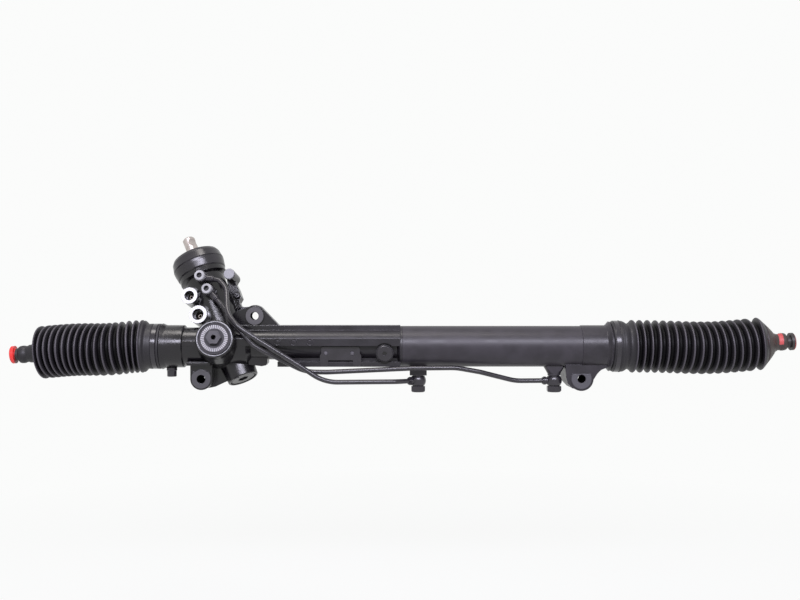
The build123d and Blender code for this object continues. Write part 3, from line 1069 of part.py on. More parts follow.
UPPER_UNION, LOWER_UNION = [on_tower(place, LINE_BOSS_FACE) for place in LINE_PORTS]
NEAR_UNION, FAR_UNION = under_cylinder(NEAR_PORT_X), under_cylinder(FAR_PORT_X)


def raised(frame):
    """The frame on top of the first washer."""
    return offset_along(frame, WASHER)


UNION_Z = CYLINDER_PORT_Z - WASHER - BALL_BANJO_HEIGHT / 2
UPPER_MIDDLE, LOWER_MIDDLE = (19.2, 5.5, 122.8), (29.5, -6, 85.5)
NEAR_ROUTE = [(29.6, -3, 112.5), (34.4, -27, 81.5), (48.9, -35.5, 65.4), (77.8, -36.5, 46.8),
              (123, -33, 18.2), (153.7, -30, UNION_Z), (242.6, -20, UNION_Z)]
FAR_ROUTE = [(35.4, -21.2, 73), (55.6, -28.4, 54.5), (67.5, -28.8, 41.4), (101.6, -24.5, 24),
             (129.9, -22, 9.6), (157, -20.6, 9.2), (261, -19.8, 14), (315.5, -18, 14.4),
             (345.4, -14, 8.9), (389.5, -5, UNION_Z)]


def port_seats():
    """Flare seat in the smaller bore at the foot of each hose port."""
    seats = []
    for place, hole in ((PRESSURE_PORT, PRESSURE_HOLE_R), (RETURN_PORT, RETURN_HOLE_R)):
        low, high = PORT_FACE - PORT_DEPTH - PORT_SEAT, PORT_FACE - PORT_DEPTH - 0.3
        r = hole - PORT_SEAT_STEP
        seats.append(turned([(PASSAGE_R, low), (r, low), (r, high - 2.5), (PASSAGE_R + 1, high),
                             (PASSAGE_R, high)], on_tower(place, 0)))
    return seats


def arm_bolt():
    """Flat-headed bolt in the arm's boss."""
    return turned([(0, ARM_FACE - 12), (BOLT_R, ARM_FACE - 12), (BOLT_R, ARM_FACE),
                   (ARM_BOSS_R - 0.3, ARM_FACE), (ARM_BOSS_R - 0.3, ARM_FACE + 2.4),
                   (ARM_BOSS_R - 0.9, ARM_FACE + 3), (0, ARM_FACE + 3)], on_tower(ARM_BOSS, 0))


def yoke_o_ring():
    return torus_ring(YOKE_R - O_RING_R, O_RING_R - FIT / 2, O_RING_AT, YOKE)


def main():
    """Write every node."""
    os.makedirs("parts", exist_ok=True)
    upper, lower = raised(UPPER_UNION), raised(LOWER_UNION)
    near, far = raised(NEAR_UNION), raised(FAR_UNION)
    to_upper, to_lower = Vector(*UPPER_MIDDLE), Vector(*LOWER_MIDDLE)
    to_near, to_far = Vector(*NEAR_ROUTE[-1]), Vector(*FAR_ROUTE[-1])
    save("rack_housing", rack_housing())
    save("vent_fitting", vent_fitting())
    save("service_plug", service_plug())
    save("nameplate", nameplate())
    save("nameplate_rivets", *nameplate_rivets())
    save("cylinder_tube", cylinder_tube())
    save("end_housing", end_housing())
    save("rack_bushing", rack_bushing())
    save("inner_rack_seal", rack_seal(HOUSING_RIGHT + SPIGOT_DEPTH - SEAL_WIDTH))
    save("outer_rack_seal", rack_seal(CYLINDER_RIGHT - SPIGOT_DEPTH))
    save("rack_bar", rack_bar())
    save("piston", piston())
    save("piston_ring", piston_ring())
    save("piston_snap_rings", *piston_snap_rings())
    save("lock_washers", lock_washer(-1), lock_washer(1))
    for side, name in ((-1, "left"), (1, "right")):
        save(f"{name}_ball_housing", ball_housing(side))
        save(f"{name}_ball_seat", ball_seat(side))
        save(f"{name}_tie_rod", tie_rod(side))
        save(f"{name}_rod_plug", rod_plug(side))
        save(f"{name}_bellows", bellows(side))
    save("bellows_clamps", *large_clamps())
    save("pinion", pinion())
    save("pinion_nut", pinion_nut())
    save("bearing_outer_race", bearing_outer_race())
    save("bearing_inner_race", bearing_inner_race())
    save("bearing_balls", *bearing_balls())
    save("pinion_end_cap", pinion_end_cap())
    save("needle_bearing", needle_bearing())
    save("pinion_seal", pinion_seal())
    save("valve_sleeve", valve_sleeve())
    save("sleeve_rings", *sleeve_rings())
    save("torsion_bar", torsion_bar())
    save("torsion_pin", torsion_pin())
    save("input_shaft", input_shaft())
    save("valve_cap", valve_cap())
    save("shaft_bearing", shaft_bearing())
    save("shaft_seal", shaft_seal())
    save("yoke", yoke())
    save("yoke_liner", yoke_liner())
    save("yoke_o_ring", yoke_o_ring())
    save("yoke_spring", yoke_spring())
    save("yoke_adjuster", yoke_adjuster())
    save("yoke_lock_ring", yoke_lock_ring())
    save("port_seats", *port_seats())
    save("arm_bolt", arm_bolt())
    save("valve_banjos", valve_banjo(upper, to_upper), valve_banjo(lower, to_lower))
    save("cylinder_banjos", cylinder_banjo(near, to_near), cylinder_banjo(far, to_far))
    save("valve_union_bolts", union_bolt(UPPER_UNION), union_bolt(LOWER_UNION))
    save("cylinder_union_bolts", hex_bolt(NEAR_UNION), hex_bolt(FAR_UNION))
    joints = ((UPPER_UNION, BANJO_HEIGHT), (LOWER_UNION, BANJO_HEIGHT),
              (NEAR_UNION, BALL_BANJO_HEIGHT), (FAR_UNION, BALL_BANJO_HEIGHT))
    save("sealing_washers", *[w for frame, height in joints for w in washers(frame, height)])
    save("near_pipe", pipe([neck_end(upper, to_upper, BANJO_NECK, BANJO_HEIGHT), to_upper]
                           + NEAR_ROUTE
                           + [neck_end(near, to_near, FERRULE_REACH, BALL_BANJO_HEIGHT)]))
    save("far_pipe", pipe([neck_end(lower, to_lower, BANJO_NECK, BANJO_HEIGHT), to_lower]
                          + FAR_ROUTE
                          + [neck_end(far, to_far, FERRULE_REACH, BALL_BANJO_HEIGHT)]))


main()
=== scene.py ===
"""Finishes for the power steering rack, with its soft bellows and small castings' detail.

Run as a script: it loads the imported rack, builds each group of pieces and sets the studio.
"""
import json
import math

import bmesh
import bpy
from bpy.props import FloatProperty, FloatVectorProperty, IntProperty, PointerProperty
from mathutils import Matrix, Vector


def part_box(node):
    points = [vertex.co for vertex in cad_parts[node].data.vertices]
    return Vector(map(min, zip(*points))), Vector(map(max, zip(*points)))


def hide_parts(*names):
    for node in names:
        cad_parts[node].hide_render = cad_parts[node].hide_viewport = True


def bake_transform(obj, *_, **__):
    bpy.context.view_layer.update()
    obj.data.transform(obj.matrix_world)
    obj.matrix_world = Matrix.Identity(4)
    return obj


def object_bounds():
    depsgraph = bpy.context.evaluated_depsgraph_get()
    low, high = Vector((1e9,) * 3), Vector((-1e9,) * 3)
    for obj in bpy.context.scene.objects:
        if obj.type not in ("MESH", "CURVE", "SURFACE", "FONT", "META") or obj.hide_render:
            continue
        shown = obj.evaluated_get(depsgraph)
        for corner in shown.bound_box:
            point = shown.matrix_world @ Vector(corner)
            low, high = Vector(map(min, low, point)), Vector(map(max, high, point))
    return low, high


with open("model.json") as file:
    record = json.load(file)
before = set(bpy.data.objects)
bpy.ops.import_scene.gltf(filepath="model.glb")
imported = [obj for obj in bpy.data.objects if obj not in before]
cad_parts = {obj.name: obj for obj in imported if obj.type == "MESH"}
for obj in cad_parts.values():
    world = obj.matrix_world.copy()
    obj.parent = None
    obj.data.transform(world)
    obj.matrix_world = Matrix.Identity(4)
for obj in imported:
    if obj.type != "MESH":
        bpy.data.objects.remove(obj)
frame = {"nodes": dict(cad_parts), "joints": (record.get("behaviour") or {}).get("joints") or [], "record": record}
CAD_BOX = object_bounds()

bl_info = {
    "name": "Power steering rack",
    "version": (1, 0, 0),
    "blender": (4, 5, 0),
    "location": "View3D > Sidebar > Steering rack",
    "description": "Builds the finishes and soft pieces of a hydraulic power steering rack",
    "category": "Object",
}

MM = 0.001
JOINTS = {joint["name"]: joint for joint in frame["joints"]}
MOUNTS = {mount["name"]: mount for mount in frame["record"]["mounts"]}
SIDES = {-1: "left", 1: "right"}
FRONT = (0.0, -1.0, 0.0)
RIGHT = (1.0, 0.0, 0.0)
RACK_HEIGHT = JOINTS["rack_slide"]["pos_m"][2]

# ---- places where a finish changes --------------------------------------------------
PINION_AT = (33.5 * MM, 0.0, RACK_HEIGHT)
YOKE_AT = (21.0 * MM, 0.0, RACK_HEIGHT)
YOKE_OUT = (0.0, -0.9635, 0.2675)
YOKE_UP = (0.0, 0.2675, 0.9635)
ADJUSTER_FACE = 43.0 * MM
ADJUSTER_RING = (12.2 * MM, 16.8 * MM)
ADJUSTER_HEXAGON = 10.0 * MM
ADJUSTER_NOTCHES = 40
PORTS = ("pressure_port", "return_port")
PORT_RING = 4.5 * MM      # width of a port's machined face
PORT_BOSS = 8.0 * MM      # width of the casting round a port
UNION_OUT = (-0.117328, -0.95882, 0.258648)
UNIONS = ((-3.31 * MM, 15.63 * MM, 125.16 * MM), (6.62 * MM, 9.95 * MM, 108.6 * MM))
UNION_SOCKET = 3.6 * MM
LUG_BORE = 5.5 * MM
# each lug's front face, how deep its machined ring shows, the ring's radii and its tone
LUGS = {
    "top_ear": {"face": 7.8 * MM, "depth": 0.6 * MM, "ring": (5.2 * MM, 11.2 * MM),
                "tone": (0.075, 0.072, 0.078)},
    "left_lug": {"face": 14.0 * MM, "depth": 0.8 * MM, "ring": (5.4 * MM, 12.5 * MM),
                 "tone": (0.055, 0.053, 0.058)},
    "right_lug": {"face": 14.0 * MM, "depth": 0.8 * MM, "ring": (5.4 * MM, 12.5 * MM),
                  "tone": (0.060, 0.058, 0.066)},
}
RIGHT_CONE_AT = (697.0 * MM, 0.0, RACK_HEIGHT)
SCRAP_AT = (719.5 * MM, -8.0 * MM, 51.0 * MM)
SCRAP_OUT = (0.0, -0.8, 0.6)
PLUG_RED = {-1: 6.0 * MM, 1: 1.6 * MM}     # how much of each plug's end stays red

# ---- tones that aren't among the settings -------------------------------------------
# painted shade for the lugs' bores
SHADOW = (0.004, 0.004, 0.004)
CONE_TONE = (0.034, 0.026, 0.023)
SCRAP_TONE = (0.40, 0.06, 0.06)
OVERSPRAY_TONE = (0.014, 0.011, 0.011)
PLUG_OVERSPRAY_TONE = (0.016, 0.013, 0.013)
RIGHT_PLUG_TONE = (0.22, 0.012, 0.012)
ZINC_TONE = (0.018, 0.017, 0.019)
ZINC_TEETH_TONE = (0.46, 0.45, 0.47)
ZINC_HEXAGON_TONE = (0.045, 0.043, 0.047)
UNION_TONE = (0.26, 0.26, 0.27)
ARM_BOLT_TONE = (0.19, 0.19, 0.205)
RIVET_TONE = (0.060, 0.057, 0.064)
SHAFT_TONE = (0.50, 0.45, 0.43)
PORT_SEAT_TONE = (0.17, 0.15, 0.13)
BEARING_TONE = (0.62, 0.58, 0.48)


# ---- settings -----------------------------------------------------------------------
class RackStudioSettings(bpy.types.PropertyGroup):
    """Camera, floor and lights."""

    aim: FloatVectorProperty(
        name="Aim", description="Point at the middle of the picture", subtype="XYZ",
        unit="LENGTH", default=(0.2461, 0.0, 0.098))
    distance: FloatProperty(
        name="Distance", description="From the camera to the rack's axis",
        unit="LENGTH", default=1.30)
    view_width: FloatProperty(
        name="View width", description="What the picture spans at the rack's axis",
        unit="LENGTH", default=1.0)
    floor_drop: FloatProperty(
        name="Floor drop", description="Floor below the rack's lowest point",
        unit="LENGTH", default=0.30)
    backdrop: FloatVectorProperty(
        name="Backdrop", description="Colour of floor and background", subtype="COLOR",
        default=(0.965, 0.97, 0.965))
    surround: FloatProperty(
        name="Surround", description="Strength of the even light all round", default=0.46)
    key_power: FloatProperty(
        name="Key power", description="Front softbox", unit="POWER", default=60.0)
    top_power: FloatProperty(
        name="Top power", description="Overhead softbox", unit="POWER", default=14.0)


class RackFinishSettings(bpy.types.PropertyGroup):
    """Colours of paint, metal, rubber and plastic."""

    paint: FloatVectorProperty(
        name="Black paint", description="Satin paint over the castings and the cylinder",
        subtype="COLOR", default=(0.0116, 0.0102, 0.0128))
    rubber: FloatVectorProperty(
        name="Rubber", description="Bellows and seals", subtype="COLOR",
        default=(0.0112, 0.0100, 0.0126))
    steel: FloatVectorProperty(
        name="Steel", description="Machined steel", subtype="COLOR",
        default=(0.56, 0.55, 0.53))
    aluminium: FloatVectorProperty(
        name="Aluminium", description="Bare machined or cast aluminium", subtype="COLOR",
        default=(0.74, 0.74, 0.75))
    red_plastic: FloatVectorProperty(
        name="Red plastic", description="Transit plugs in the tie rods", subtype="COLOR",
        default=(0.62, 0.022, 0.02))
    # lighter tone of the bellows' crests: dust and wear, and partly a painted sheen standing in for the crests'
    # highlight
    dust_and_sheen: FloatVectorProperty(
        name="Dust", description="Worn, dusty crests of the bellows", subtype="COLOR",
        default=(0.047, 0.042, 0.051))
    oil_reach: FloatProperty(
        name="Oil reach", description="How far right of the pinion the castings are oily",
        unit="LENGTH", default=0.10)
    edge_radius: FloatProperty(
        name="Edge radius", description="Soft corner of a painted casting",
        unit="LENGTH", default=0.9 * MM)


class RackBellowsSettings(bpy.types.PropertyGroup):
    """Sizes of the rubber bellows."""

    crest_radius: FloatProperty(
        name="Crest radius", description="Outside of a convolution", unit="LENGTH",
        default=32.9 * MM)
    depth: FloatProperty(
        name="Depth", description="From crest to valley", unit="LENGTH", default=6.6 * MM)
    crest: FloatProperty(
        name="Crest", description="Rounding of a crest", unit="LENGTH", default=1.2 * MM)
    wall: FloatProperty(
        name="Wall", description="Thickness of the rubber", unit="LENGTH", default=1.4 * MM)
    count: IntProperty(
        name="Convolutions", description="On each bellows", default=17)


# ---- mesh helpers -------------------------------------------------------------------
def finished(mesh, name, material):
    """A bmesh made a smooth object of that name and material."""
    bmesh.ops.remove_doubles(mesh, verts=mesh.verts, dist=1e-6)
    bmesh.ops.recalc_face_normals(mesh, faces=mesh.faces)
    data = bpy.data.meshes.new(name)
    mesh.to_mesh(data)
    mesh.free()
    for face in data.polygons:
        face.use_smooth = True
    data.materials.append(material)
    piece = bpy.data.objects.new(name, data)
    bpy.context.scene.collection.objects.link(piece)
    return piece


def spun(corners, steps):
    """Turns a closed (radius, height) outline about the z axis."""
    mesh = bmesh.new()
    verts = [mesh.verts.new((r, 0, z)) for r, z in corners]
    edges = [mesh.edges.new((a, b)) for a, b in zip(verts, verts[1:] + verts[:1])]
    bmesh.ops.spin(mesh, geom=verts + edges, cent=(0, 0, 0), axis=(0, 0, 1), angle=math.tau,
                   steps=steps, use_merge=True, use_duplicate=False)
    return mesh


# ---- material helpers ---------------------------------------------------------------
def new_group(name, inputs, outputs):
    """An empty shader group with number or vector inputs and named outputs."""
    group = bpy.data.node_groups.new(name, "ShaderNodeTree")
    for label, default in inputs:
        kind = "NodeSocketVector" if isinstance(default, tuple) else "NodeSocketFloat"
        socket = group.interface.new_socket(label, in_out="INPUT", socket_type=kind)
        socket.default_value = default
    for label, kind in outputs:
        group.interface.new_socket(label, in_out="OUTPUT", socket_type=kind)
    start = group.nodes.new("NodeGroupInput")
    end = group.nodes.new("NodeGroupOutput")
    return group, start, end


def math_node(nodes, links, kind, first, second=None, clamp=False):
    """Output of a maths node that is fed by sockets or numbers."""
    node = nodes.new("ShaderNodeMath")
    node.operation = kind
    node.use_clamp = clamp
    for socket, value in zip(node.inputs, (first, second)):
        if isinstance(value, (int, float)):
            socket.default_value = value
        elif value is not None:
            links.new(value, socket)
    return node.outputs[0]


def vector_node(nodes, links, kind, first, second=None):
    """Output of a vector maths node that is fed by sockets or fixed vectors."""
    node = nodes.new("ShaderNodeVectorMath")
    node.operation = kind
    for socket, value in zip(node.inputs, (first, second)):
        if isinstance(value, tuple):
            socket.default_value = value
        elif value is not None:
            links.new(value, socket)
    number = kind in ("DOT_PRODUCT", "LENGTH", "DISTANCE")
    return node.outputs["Value" if number else "Vector"]


def grain_group():
    """Fine and coarse unevenness of a painted or moulded surface."""
    group, start, end = new_group(
        "surface_grain", [("Fine scale", 900.0), ("Coarse scale", 60.0), ("Fine share", 0.5)],
        [("Height", "NodeSocketFloat"), ("Patches", "NodeSocketFloat")])
    nodes, links = group.nodes, group.links
    place = nodes.new("ShaderNodeTexCoord").outputs["Object"]
    fine = nodes.new("ShaderNodeTexNoise")
    coarse = nodes.new("ShaderNodeTexNoise")
    for node, label, detail in ((fine, "Fine scale", 3.0), (coarse, "Coarse scale", 4.0)):
        links.new(place, node.inputs["Vector"])
        links.new(start.outputs[label], node.inputs["Scale"])
        node.inputs["Detail"].default_value = detail
    share = start.outputs["Fine share"]
    rest = math_node(nodes, links, "SUBTRACT", 1.0, share)
    small = math_node(nodes, links, "MULTIPLY", fine.outputs["Fac"], share)
    large = math_node(nodes, links, "MULTIPLY", coarse.outputs["Fac"], rest)
    links.new(math_node(nodes, links, "ADD", small, large), end.inputs["Height"])
    links.new(coarse.outputs["Fac"], end.inputs["Patches"])
    return group


def edge_group():
    """Normals rounded over sharp corners, and a mask of those corners."""
    group, start, end = new_group(
        "soft_edges", [("Radius", 0.8 * MM)],
        [("Normal", "NodeSocketVector"), ("Edge", "NodeSocketFloat")])
    nodes, links = group.nodes, group.links
    bevel = nodes.new("ShaderNodeBevel")
    bevel.samples = 6
    links.new(start.outputs["Radius"], bevel.inputs["Radius"])
    geometry = nodes.new("ShaderNodeNewGeometry")
    likeness = vector_node(nodes, links, "DOT_PRODUCT", bevel.outputs["Normal"],
                           geometry.outputs["Normal"])
    bend = math_node(nodes, links, "SUBTRACT", 1.0, likeness)
    links.new(math_node(nodes, links, "MULTIPLY", bend, 6.0, clamp=True), end.inputs["Edge"])
    links.new(bevel.outputs["Normal"], end.inputs["Normal"])
    return group


def zone_group():
    """Mask of a ring round an axis: between two heights and two radii."""
    group, start, end = new_group(
        "ring_zone",
        [("Place", (0.0, 0.0, 0.0)), ("Origin", (0.0, 0.0, 0.0)),
         ("Direction", (0.0, 0.0, 1.0)), ("Low", 0.0), ("High", 10 * MM), ("Inner", -1.0),
         ("Outer", 10 * MM), ("Soft", 0.4 * MM)],
        [("Mask", "NodeSocketFloat")])
    nodes, links = group.nodes, group.links
    values = start.outputs
    offset = vector_node(nodes, links, "SUBTRACT", values["Place"], values["Origin"])
    height = vector_node(nodes, links, "DOT_PRODUCT", offset, values["Direction"])
    turned = vector_node(nodes, links, "CROSS_PRODUCT", offset, values["Direction"])
    radius = vector_node(nodes, links, "LENGTH", turned)
    mask = None
    for above, below in ((height, values["Low"]), (values["High"], height),
                         (radius, values["Inner"]), (values["Outer"], radius)):
        gap = math_node(nodes, links, "SUBTRACT", above, below)
        inside = math_node(nodes, links, "DIVIDE", gap, values["Soft"], clamp=True)
        mask = inside if mask is None else math_node(nodes, links, "MULTIPLY", mask, inside)
    links.new(mask, end.inputs["Mask"])
    return group


def zone(material, origin, direction, low, high, outer, inner=-1.0, soft=0.4 * MM,
         place=None):
    """A ring's mask in a material. The direction is a unit vector and sizes are in metres."""
    node = placed(material, GROUPS["zone"], origin=tuple(origin), direction=tuple(direction),
                  low=low, high=high, inner=inner, outer=outer, soft=soft)
    place = place or material.node_tree.nodes.new("ShaderNodeTexCoord").outputs["Object"]
    material.node_tree.links.new(place, node.inputs["Place"])
    return node.outputs["Mask"]


def widest(material, masks):
    """The largest of several masks."""
    nodes, links = material.node_tree.nodes, material.node_tree.links
    result = masks[0]
    for mask in masks[1:]:
        result = math_node(nodes, links, "MAXIMUM", result, mask)
    return result


def product(material, first, second):
    """Two masks multiplied."""
    return math_node(material.node_tree.nodes, material.node_tree.links, "MULTIPLY",
                     first, second)


def placed(material, group, **values):
    """Puts a shared group in a material with its own values."""
    node = material.node_tree.nodes.new("ShaderNodeGroup")
    node.node_tree = group
    for label, value in values.items():
        node.inputs[label.replace("_", " ").capitalize()].default_value = value
    return node


def new_material(name, colour, roughness, metallic=0.0):
    """A material and its shader, plain so far."""
    material = bpy.data.materials.new(name)
    material.use_nodes = True
    shader = material.node_tree.nodes["Principled BSDF"]
    shader.inputs["Base Color"].default_value = (*colour, 1.0)
    shader.inputs["Roughness"].default_value = roughness
    shader.inputs["Metallic"].default_value = metallic
    return material, shader


def ramp(material, source, low, high, first, second):
    """Maps a value between low and high to between two others."""
    node = material.node_tree.nodes.new("ShaderNodeMapRange")
    for label, value in (("From Min", low), ("From Max", high), ("To Min", first),
                         ("To Max", second)):
        node.inputs[label].default_value = value
    material.node_tree.links.new(source, node.inputs["Value"])
    return node.outputs["Result"]


def mixed(material, factor, first, second):
    """Colour between two, by a mask. Each is a colour or a socket."""
    node = material.node_tree.nodes.new("ShaderNodeMix")
    node.data_type = "RGBA"
    links = material.node_tree.links
    links.new(factor, node.inputs["Factor"])
    for socket, value in ((node.inputs[6], first), (node.inputs[7], second)):
        if isinstance(value, tuple):
            socket.default_value = (*value, 1.0)
        else:
            links.new(value, socket)
    return node.outputs[2]


def blended(material, factor, first, second):
    """Number between two, by a mask. Each is a number or a socket."""
    node = material.node_tree.nodes.new("ShaderNodeMix")
    links = material.node_tree.links
    links.new(factor, node.inputs["Factor"])
    for socket, value in ((node.inputs[2], first), (node.inputs[3], second)):
        if isinstance(value, float):
            socket.default_value = value
        else:
            links.new(value, socket)
    return node.outputs[0]


def bumped(material, shader, height, strength, distance, normal=None):
    """Feeds a height to the shader's normal, over a rounded normal if there is one."""
    bump = material.node_tree.nodes.new("ShaderNodeBump")
    bump.inputs["Strength"].default_value = strength
    bump.inputs["Distance"].default_value = distance
    links = material.node_tree.links
    links.new(height, bump.inputs["Height"])
    if normal:
        links.new(normal, bump.inputs["Normal"])
    links.new(bump.outputs["Normal"], shader.inputs["Normal"])


def scaled(colour, factor):
    """A colour made lighter or darker."""
    return tuple(min(1.0, channel * factor) for channel in colour)


def painted(name, colour, gloss, grain, edge=0.4 * MM, specular=0.34):
    """Paint with grain, uneven gloss and lighter worn corners."""
    material, shader = new_material(name, colour, gloss)
    shader.inputs["Specular IOR Level"].default_value = specular
    links = material.node_tree.links
    surface = placed(material, GROUPS["grain"], fine_scale=1100.0, coarse_scale=55.0,
                     fine_share=0.6)
    patches = ramp(material, surface.outputs["Patches"], 0.35, 0.65, 0.0, 1.0)
    tone = mixed(material, patches, scaled(colour, 0.85), scaled(colour, 1.25))
    corners = placed(material, GROUPS["edges"], radius=edge)
    wear = ramp(material, corners.outputs["Edge"], 0.15, 0.9, 0.0, 0.5)
    tone = mixed(material, wear, tone, scaled(colour, 4.0))
    links.new(tone, shader.inputs["Base Color"])
    rough = ramp(material, surface.outputs["Patches"], 0.3, 0.7, gloss - 0.05, gloss + 0.07)
    links.new(rough, shader.inputs["Roughness"])
    bumped(material, shader, surface.outputs["Height"], grain, 0.4 * MM,
           corners.outputs["Normal"])
    return material


def input_source(socket):
    """What is linked to a socket."""
    return socket.links[0].from_socket


def bared(material, mask, colour, gloss):
    """Gives a painted material the colour and gloss of bare metal where the mask is 1."""
    shader = material.node_tree.nodes["Principled BSDF"]
    links = material.node_tree.links
    tone = mixed(material, mask, input_source(shader.inputs["Base Color"]), colour)
    links.new(tone, shader.inputs["Base Color"])
    rough = blended(material, mask, input_source(shader.inputs["Roughness"]), gloss)
    links.new(rough, shader.inputs["Roughness"])


def casting_paint(settings):
    """Casting paint, oily near the pinion, with machined faces at the ports and lugs and the lug bores painted
    near black as shade.
    """
    paint = tuple(settings.paint)
    material = painted("casting_paint", paint, 0.36, 0.35, settings.edge_radius)
    shader = material.node_tree.nodes["Principled BSDF"]
    links = material.node_tree.links
    oil = zone(material, PINION_AT, RIGHT, -120 * MM, settings.oil_reach, 1.0, soft=60 * MM)
    wet = ramp(material, patches(material, 45.0), 0.35, 0.65, 0.13, 0.27)
    rough = blended(material, oil, input_source(shader.inputs["Roughness"]), wet)
    links.new(rough, shader.inputs["Roughness"])
    tone = mixed(material, oil, input_source(shader.inputs["Base Color"]),
                 scaled(paint, 0.45))
    lugs = ("top_ear", "left_lug")
    for name in lugs:
        tone = mixed(material, lug_ring(material, name), tone, LUGS[name]["tone"])
    holes = widest(material, [lug_hole(material, name) for name in lugs])
    # painted shade: the lug bores are darkened to near black and lose their specular
    links.new(mixed(material, holes, tone, SHADOW), shader.inputs["Base Color"])
    shine = ramp(material, oil, 0.0, 1.0, 0.34, 0.46)
    outside = ramp(material, holes, 0.0, 1.0, 1.0, 0.0)
    links.new(product(material, shine, outside), shader.inputs["Specular IOR Level"])
    bare_ports(material, tuple(settings.aluminium))
    return material


def bare_ports(material, aluminium):
    """Machined faces of the ports, and patches of bare casting round their bosses."""
    faces = [port_zone(material, name, -0.5 * MM, 10 * MM, PORT_RING, 0.2 * MM)
             for name in PORTS]
    bared(material, widest(material, faces), scaled(aluminium, 0.8), 0.42)
    sides = [port_zone(material, name, -30 * MM, -0.5 * MM, PORT_BOSS, 3 * MM)
             for name in PORTS]
    patchy = ramp(material, patches(material, 160.0), 0.44, 0.56, 0.0, 1.0)
    rough_cast = product(material, widest(material, sides), patchy)
    bared(material, rough_cast, scaled(aluminium, 0.45), 0.30)
    shader = material.node_tree.nodes["Principled BSDF"]
    material.node_tree.links.new(rough_cast, shader.inputs["Metallic"])


def port_zone(material, name, low, high, margin, soft):
    """Mask of a ring round a port, between two heights over the port's face."""
    mount = MOUNTS[name]
    out = Vector(mount["axis"])
    if out.y > 0:
        out = -out
    radius, depth = mount["dims"]["r_mm"] * MM, mount["dims"]["length_mm"] * MM
    face = Vector(mount["pos_m"]) + out * depth / 2
    return zone(material, face, out, low, high, radius + margin, soft=soft)


def lug_ring(material, name):
    """Mask of the machined ring round a lug's bore."""
    lug = LUGS[name]
    inner, outer = lug["ring"]
    return zone(material, MOUNTS[name]["pos_m"], FRONT, lug["face"] - lug["depth"], 20 * MM,
                outer, inner=inner)


def lug_hole(material, name):
    """Mask of a lug's bore, up to just under its front face."""
    return zone(material, MOUNTS[name]["pos_m"], FRONT, -50 * MM,
                LUGS[name]["face"] - 0.2 * MM, LUG_BORE, soft=0.1 * MM)


def end_paint(settings):
    """Paint of the right housing, its lug's bore painted near black as shade."""
    material = painted("end_housing_paint", scaled(settings.paint, 1.5), 0.36, 0.25,
                       settings.edge_radius)
    shader = material.node_tree.nodes["Principled BSDF"]
    links = material.node_tree.links
    hole = lug_hole(material, "right_lug")
    tone = mixed(material, lug_ring(material, "right_lug"),
                 input_source(shader.inputs["Base Color"]), LUGS["right_lug"]["tone"])
    # painted shade: the bore is darkened to near black and loses its specular
    links.new(mixed(material, hole, tone, SHADOW), shader.inputs["Base Color"])
    links.new(ramp(material, hole, 0.0, 1.0, 0.34, 0.0), shader.inputs["Specular IOR Level"])
    return material


def patches(material, scale):
    """Large soft patches."""
    return placed(material, GROUPS["grain"], coarse_scale=scale).outputs["Patches"]


def metal(name, colour, gloss):
    """Bare metal with fine machining marks and rounded corners."""
    material, shader = new_material(name, colour, gloss, 1.0)
    links = material.node_tree.links
    surface = placed(material, GROUPS["grain"], fine_scale=1600.0, coarse_scale=140.0,
                     fine_share=0.7)
    corners = placed(material, GROUPS["edges"], radius=0.4 * MM)
    cloud = ramp(material, surface.outputs["Patches"], 0.3, 0.7, 0.0, 1.0)
    tone = mixed(material, cloud, scaled(colour, 0.86), scaled(colour, 1.08))
    links.new(tone, shader.inputs["Base Color"])
    rough = ramp(material, surface.outputs["Height"], 0.3, 0.7, gloss - 0.07, gloss + 0.07)
    links.new(rough, shader.inputs["Roughness"])
    bumped(material, shader, surface.outputs["Height"], 0.12, 0.2 * MM,
           corners.outputs["Normal"])
    return material


def rubbery(name, colour, gloss):
    """Black rubber with faint mould grain and a dusty bloom."""
    material, shader = new_material(name, colour, gloss)
    links = material.node_tree.links
    surface = placed(material, GROUPS["grain"], fine_scale=1500.0, coarse_scale=45.0,
                     fine_share=0.7)
    bloom = ramp(material, surface.outputs["Patches"], 0.3, 0.75, 0.0, 1.0)
    links.new(mixed(material, bloom, scaled(colour, 0.9), scaled(colour, 1.5)),
              shader.inputs["Base Color"])
    rough = ramp(material, surface.outputs["Patches"], 0.3, 0.7, gloss - 0.04, gloss + 0.05)
    links.new(rough, shader.inputs["Roughness"])
    bumped(material, shader, surface.outputs["Height"], 0.12, 0.2 * MM)
    return material


def bellows_rubber(settings):
    """Bellows rubber: valleys painted near black as shade, crests painted lighter as dust and wear and partly as a
    painted sheen.
    """
    colour = tuple(settings.rubber)
    material = rubbery("bellows_rubber", colour, 0.46)
    shader = material.node_tree.nodes["Principled BSDF"]
    links = material.node_tree.links
    ridge = attribute(material, "ridge").outputs["Fac"]
    place = attribute(material, "rest_place").outputs["Vector"]
    # painted shade: the valleys are darkened to near black, by how near a crest each point is
    lit = ramp(material, ridge, 0.1, CUFF_RIDGE, 0.0, 1.0)
    worn_and_sheen = ramp(material, ridge, CUFF_RIDGE + 0.1, 1.0, 0.0, 1.0)
    tone = mixed(material, lit, scaled(colour, 0.15), colour)
    cone = zone(material, RIGHT_CONE_AT, RIGHT, 0.0, 100 * MM, 1.0, soft=4 * MM, place=place)
    tone = mixed(material, cone, tone, CONE_TONE)
    # crests painted lighter: dust and wear, partly a painted sheen
    tone = mixed(material, worn_and_sheen, tone, tuple(settings.dust_and_sheen))
    tone = mixed(material, torn_cap(material, place), tone, SCRAP_TONE)
    links.new(tone, shader.inputs["Base Color"])
    links.new(ramp(material, ridge, 0.1, CUFF_RIDGE, 0.08, 0.36),
              shader.inputs["Specular IOR Level"])
    return material


def attribute(material, name):
    """Node that reads a mesh attribute."""
    node = material.node_tree.nodes.new("ShaderNodeAttribute")
    node.attribute_name = name
    return node


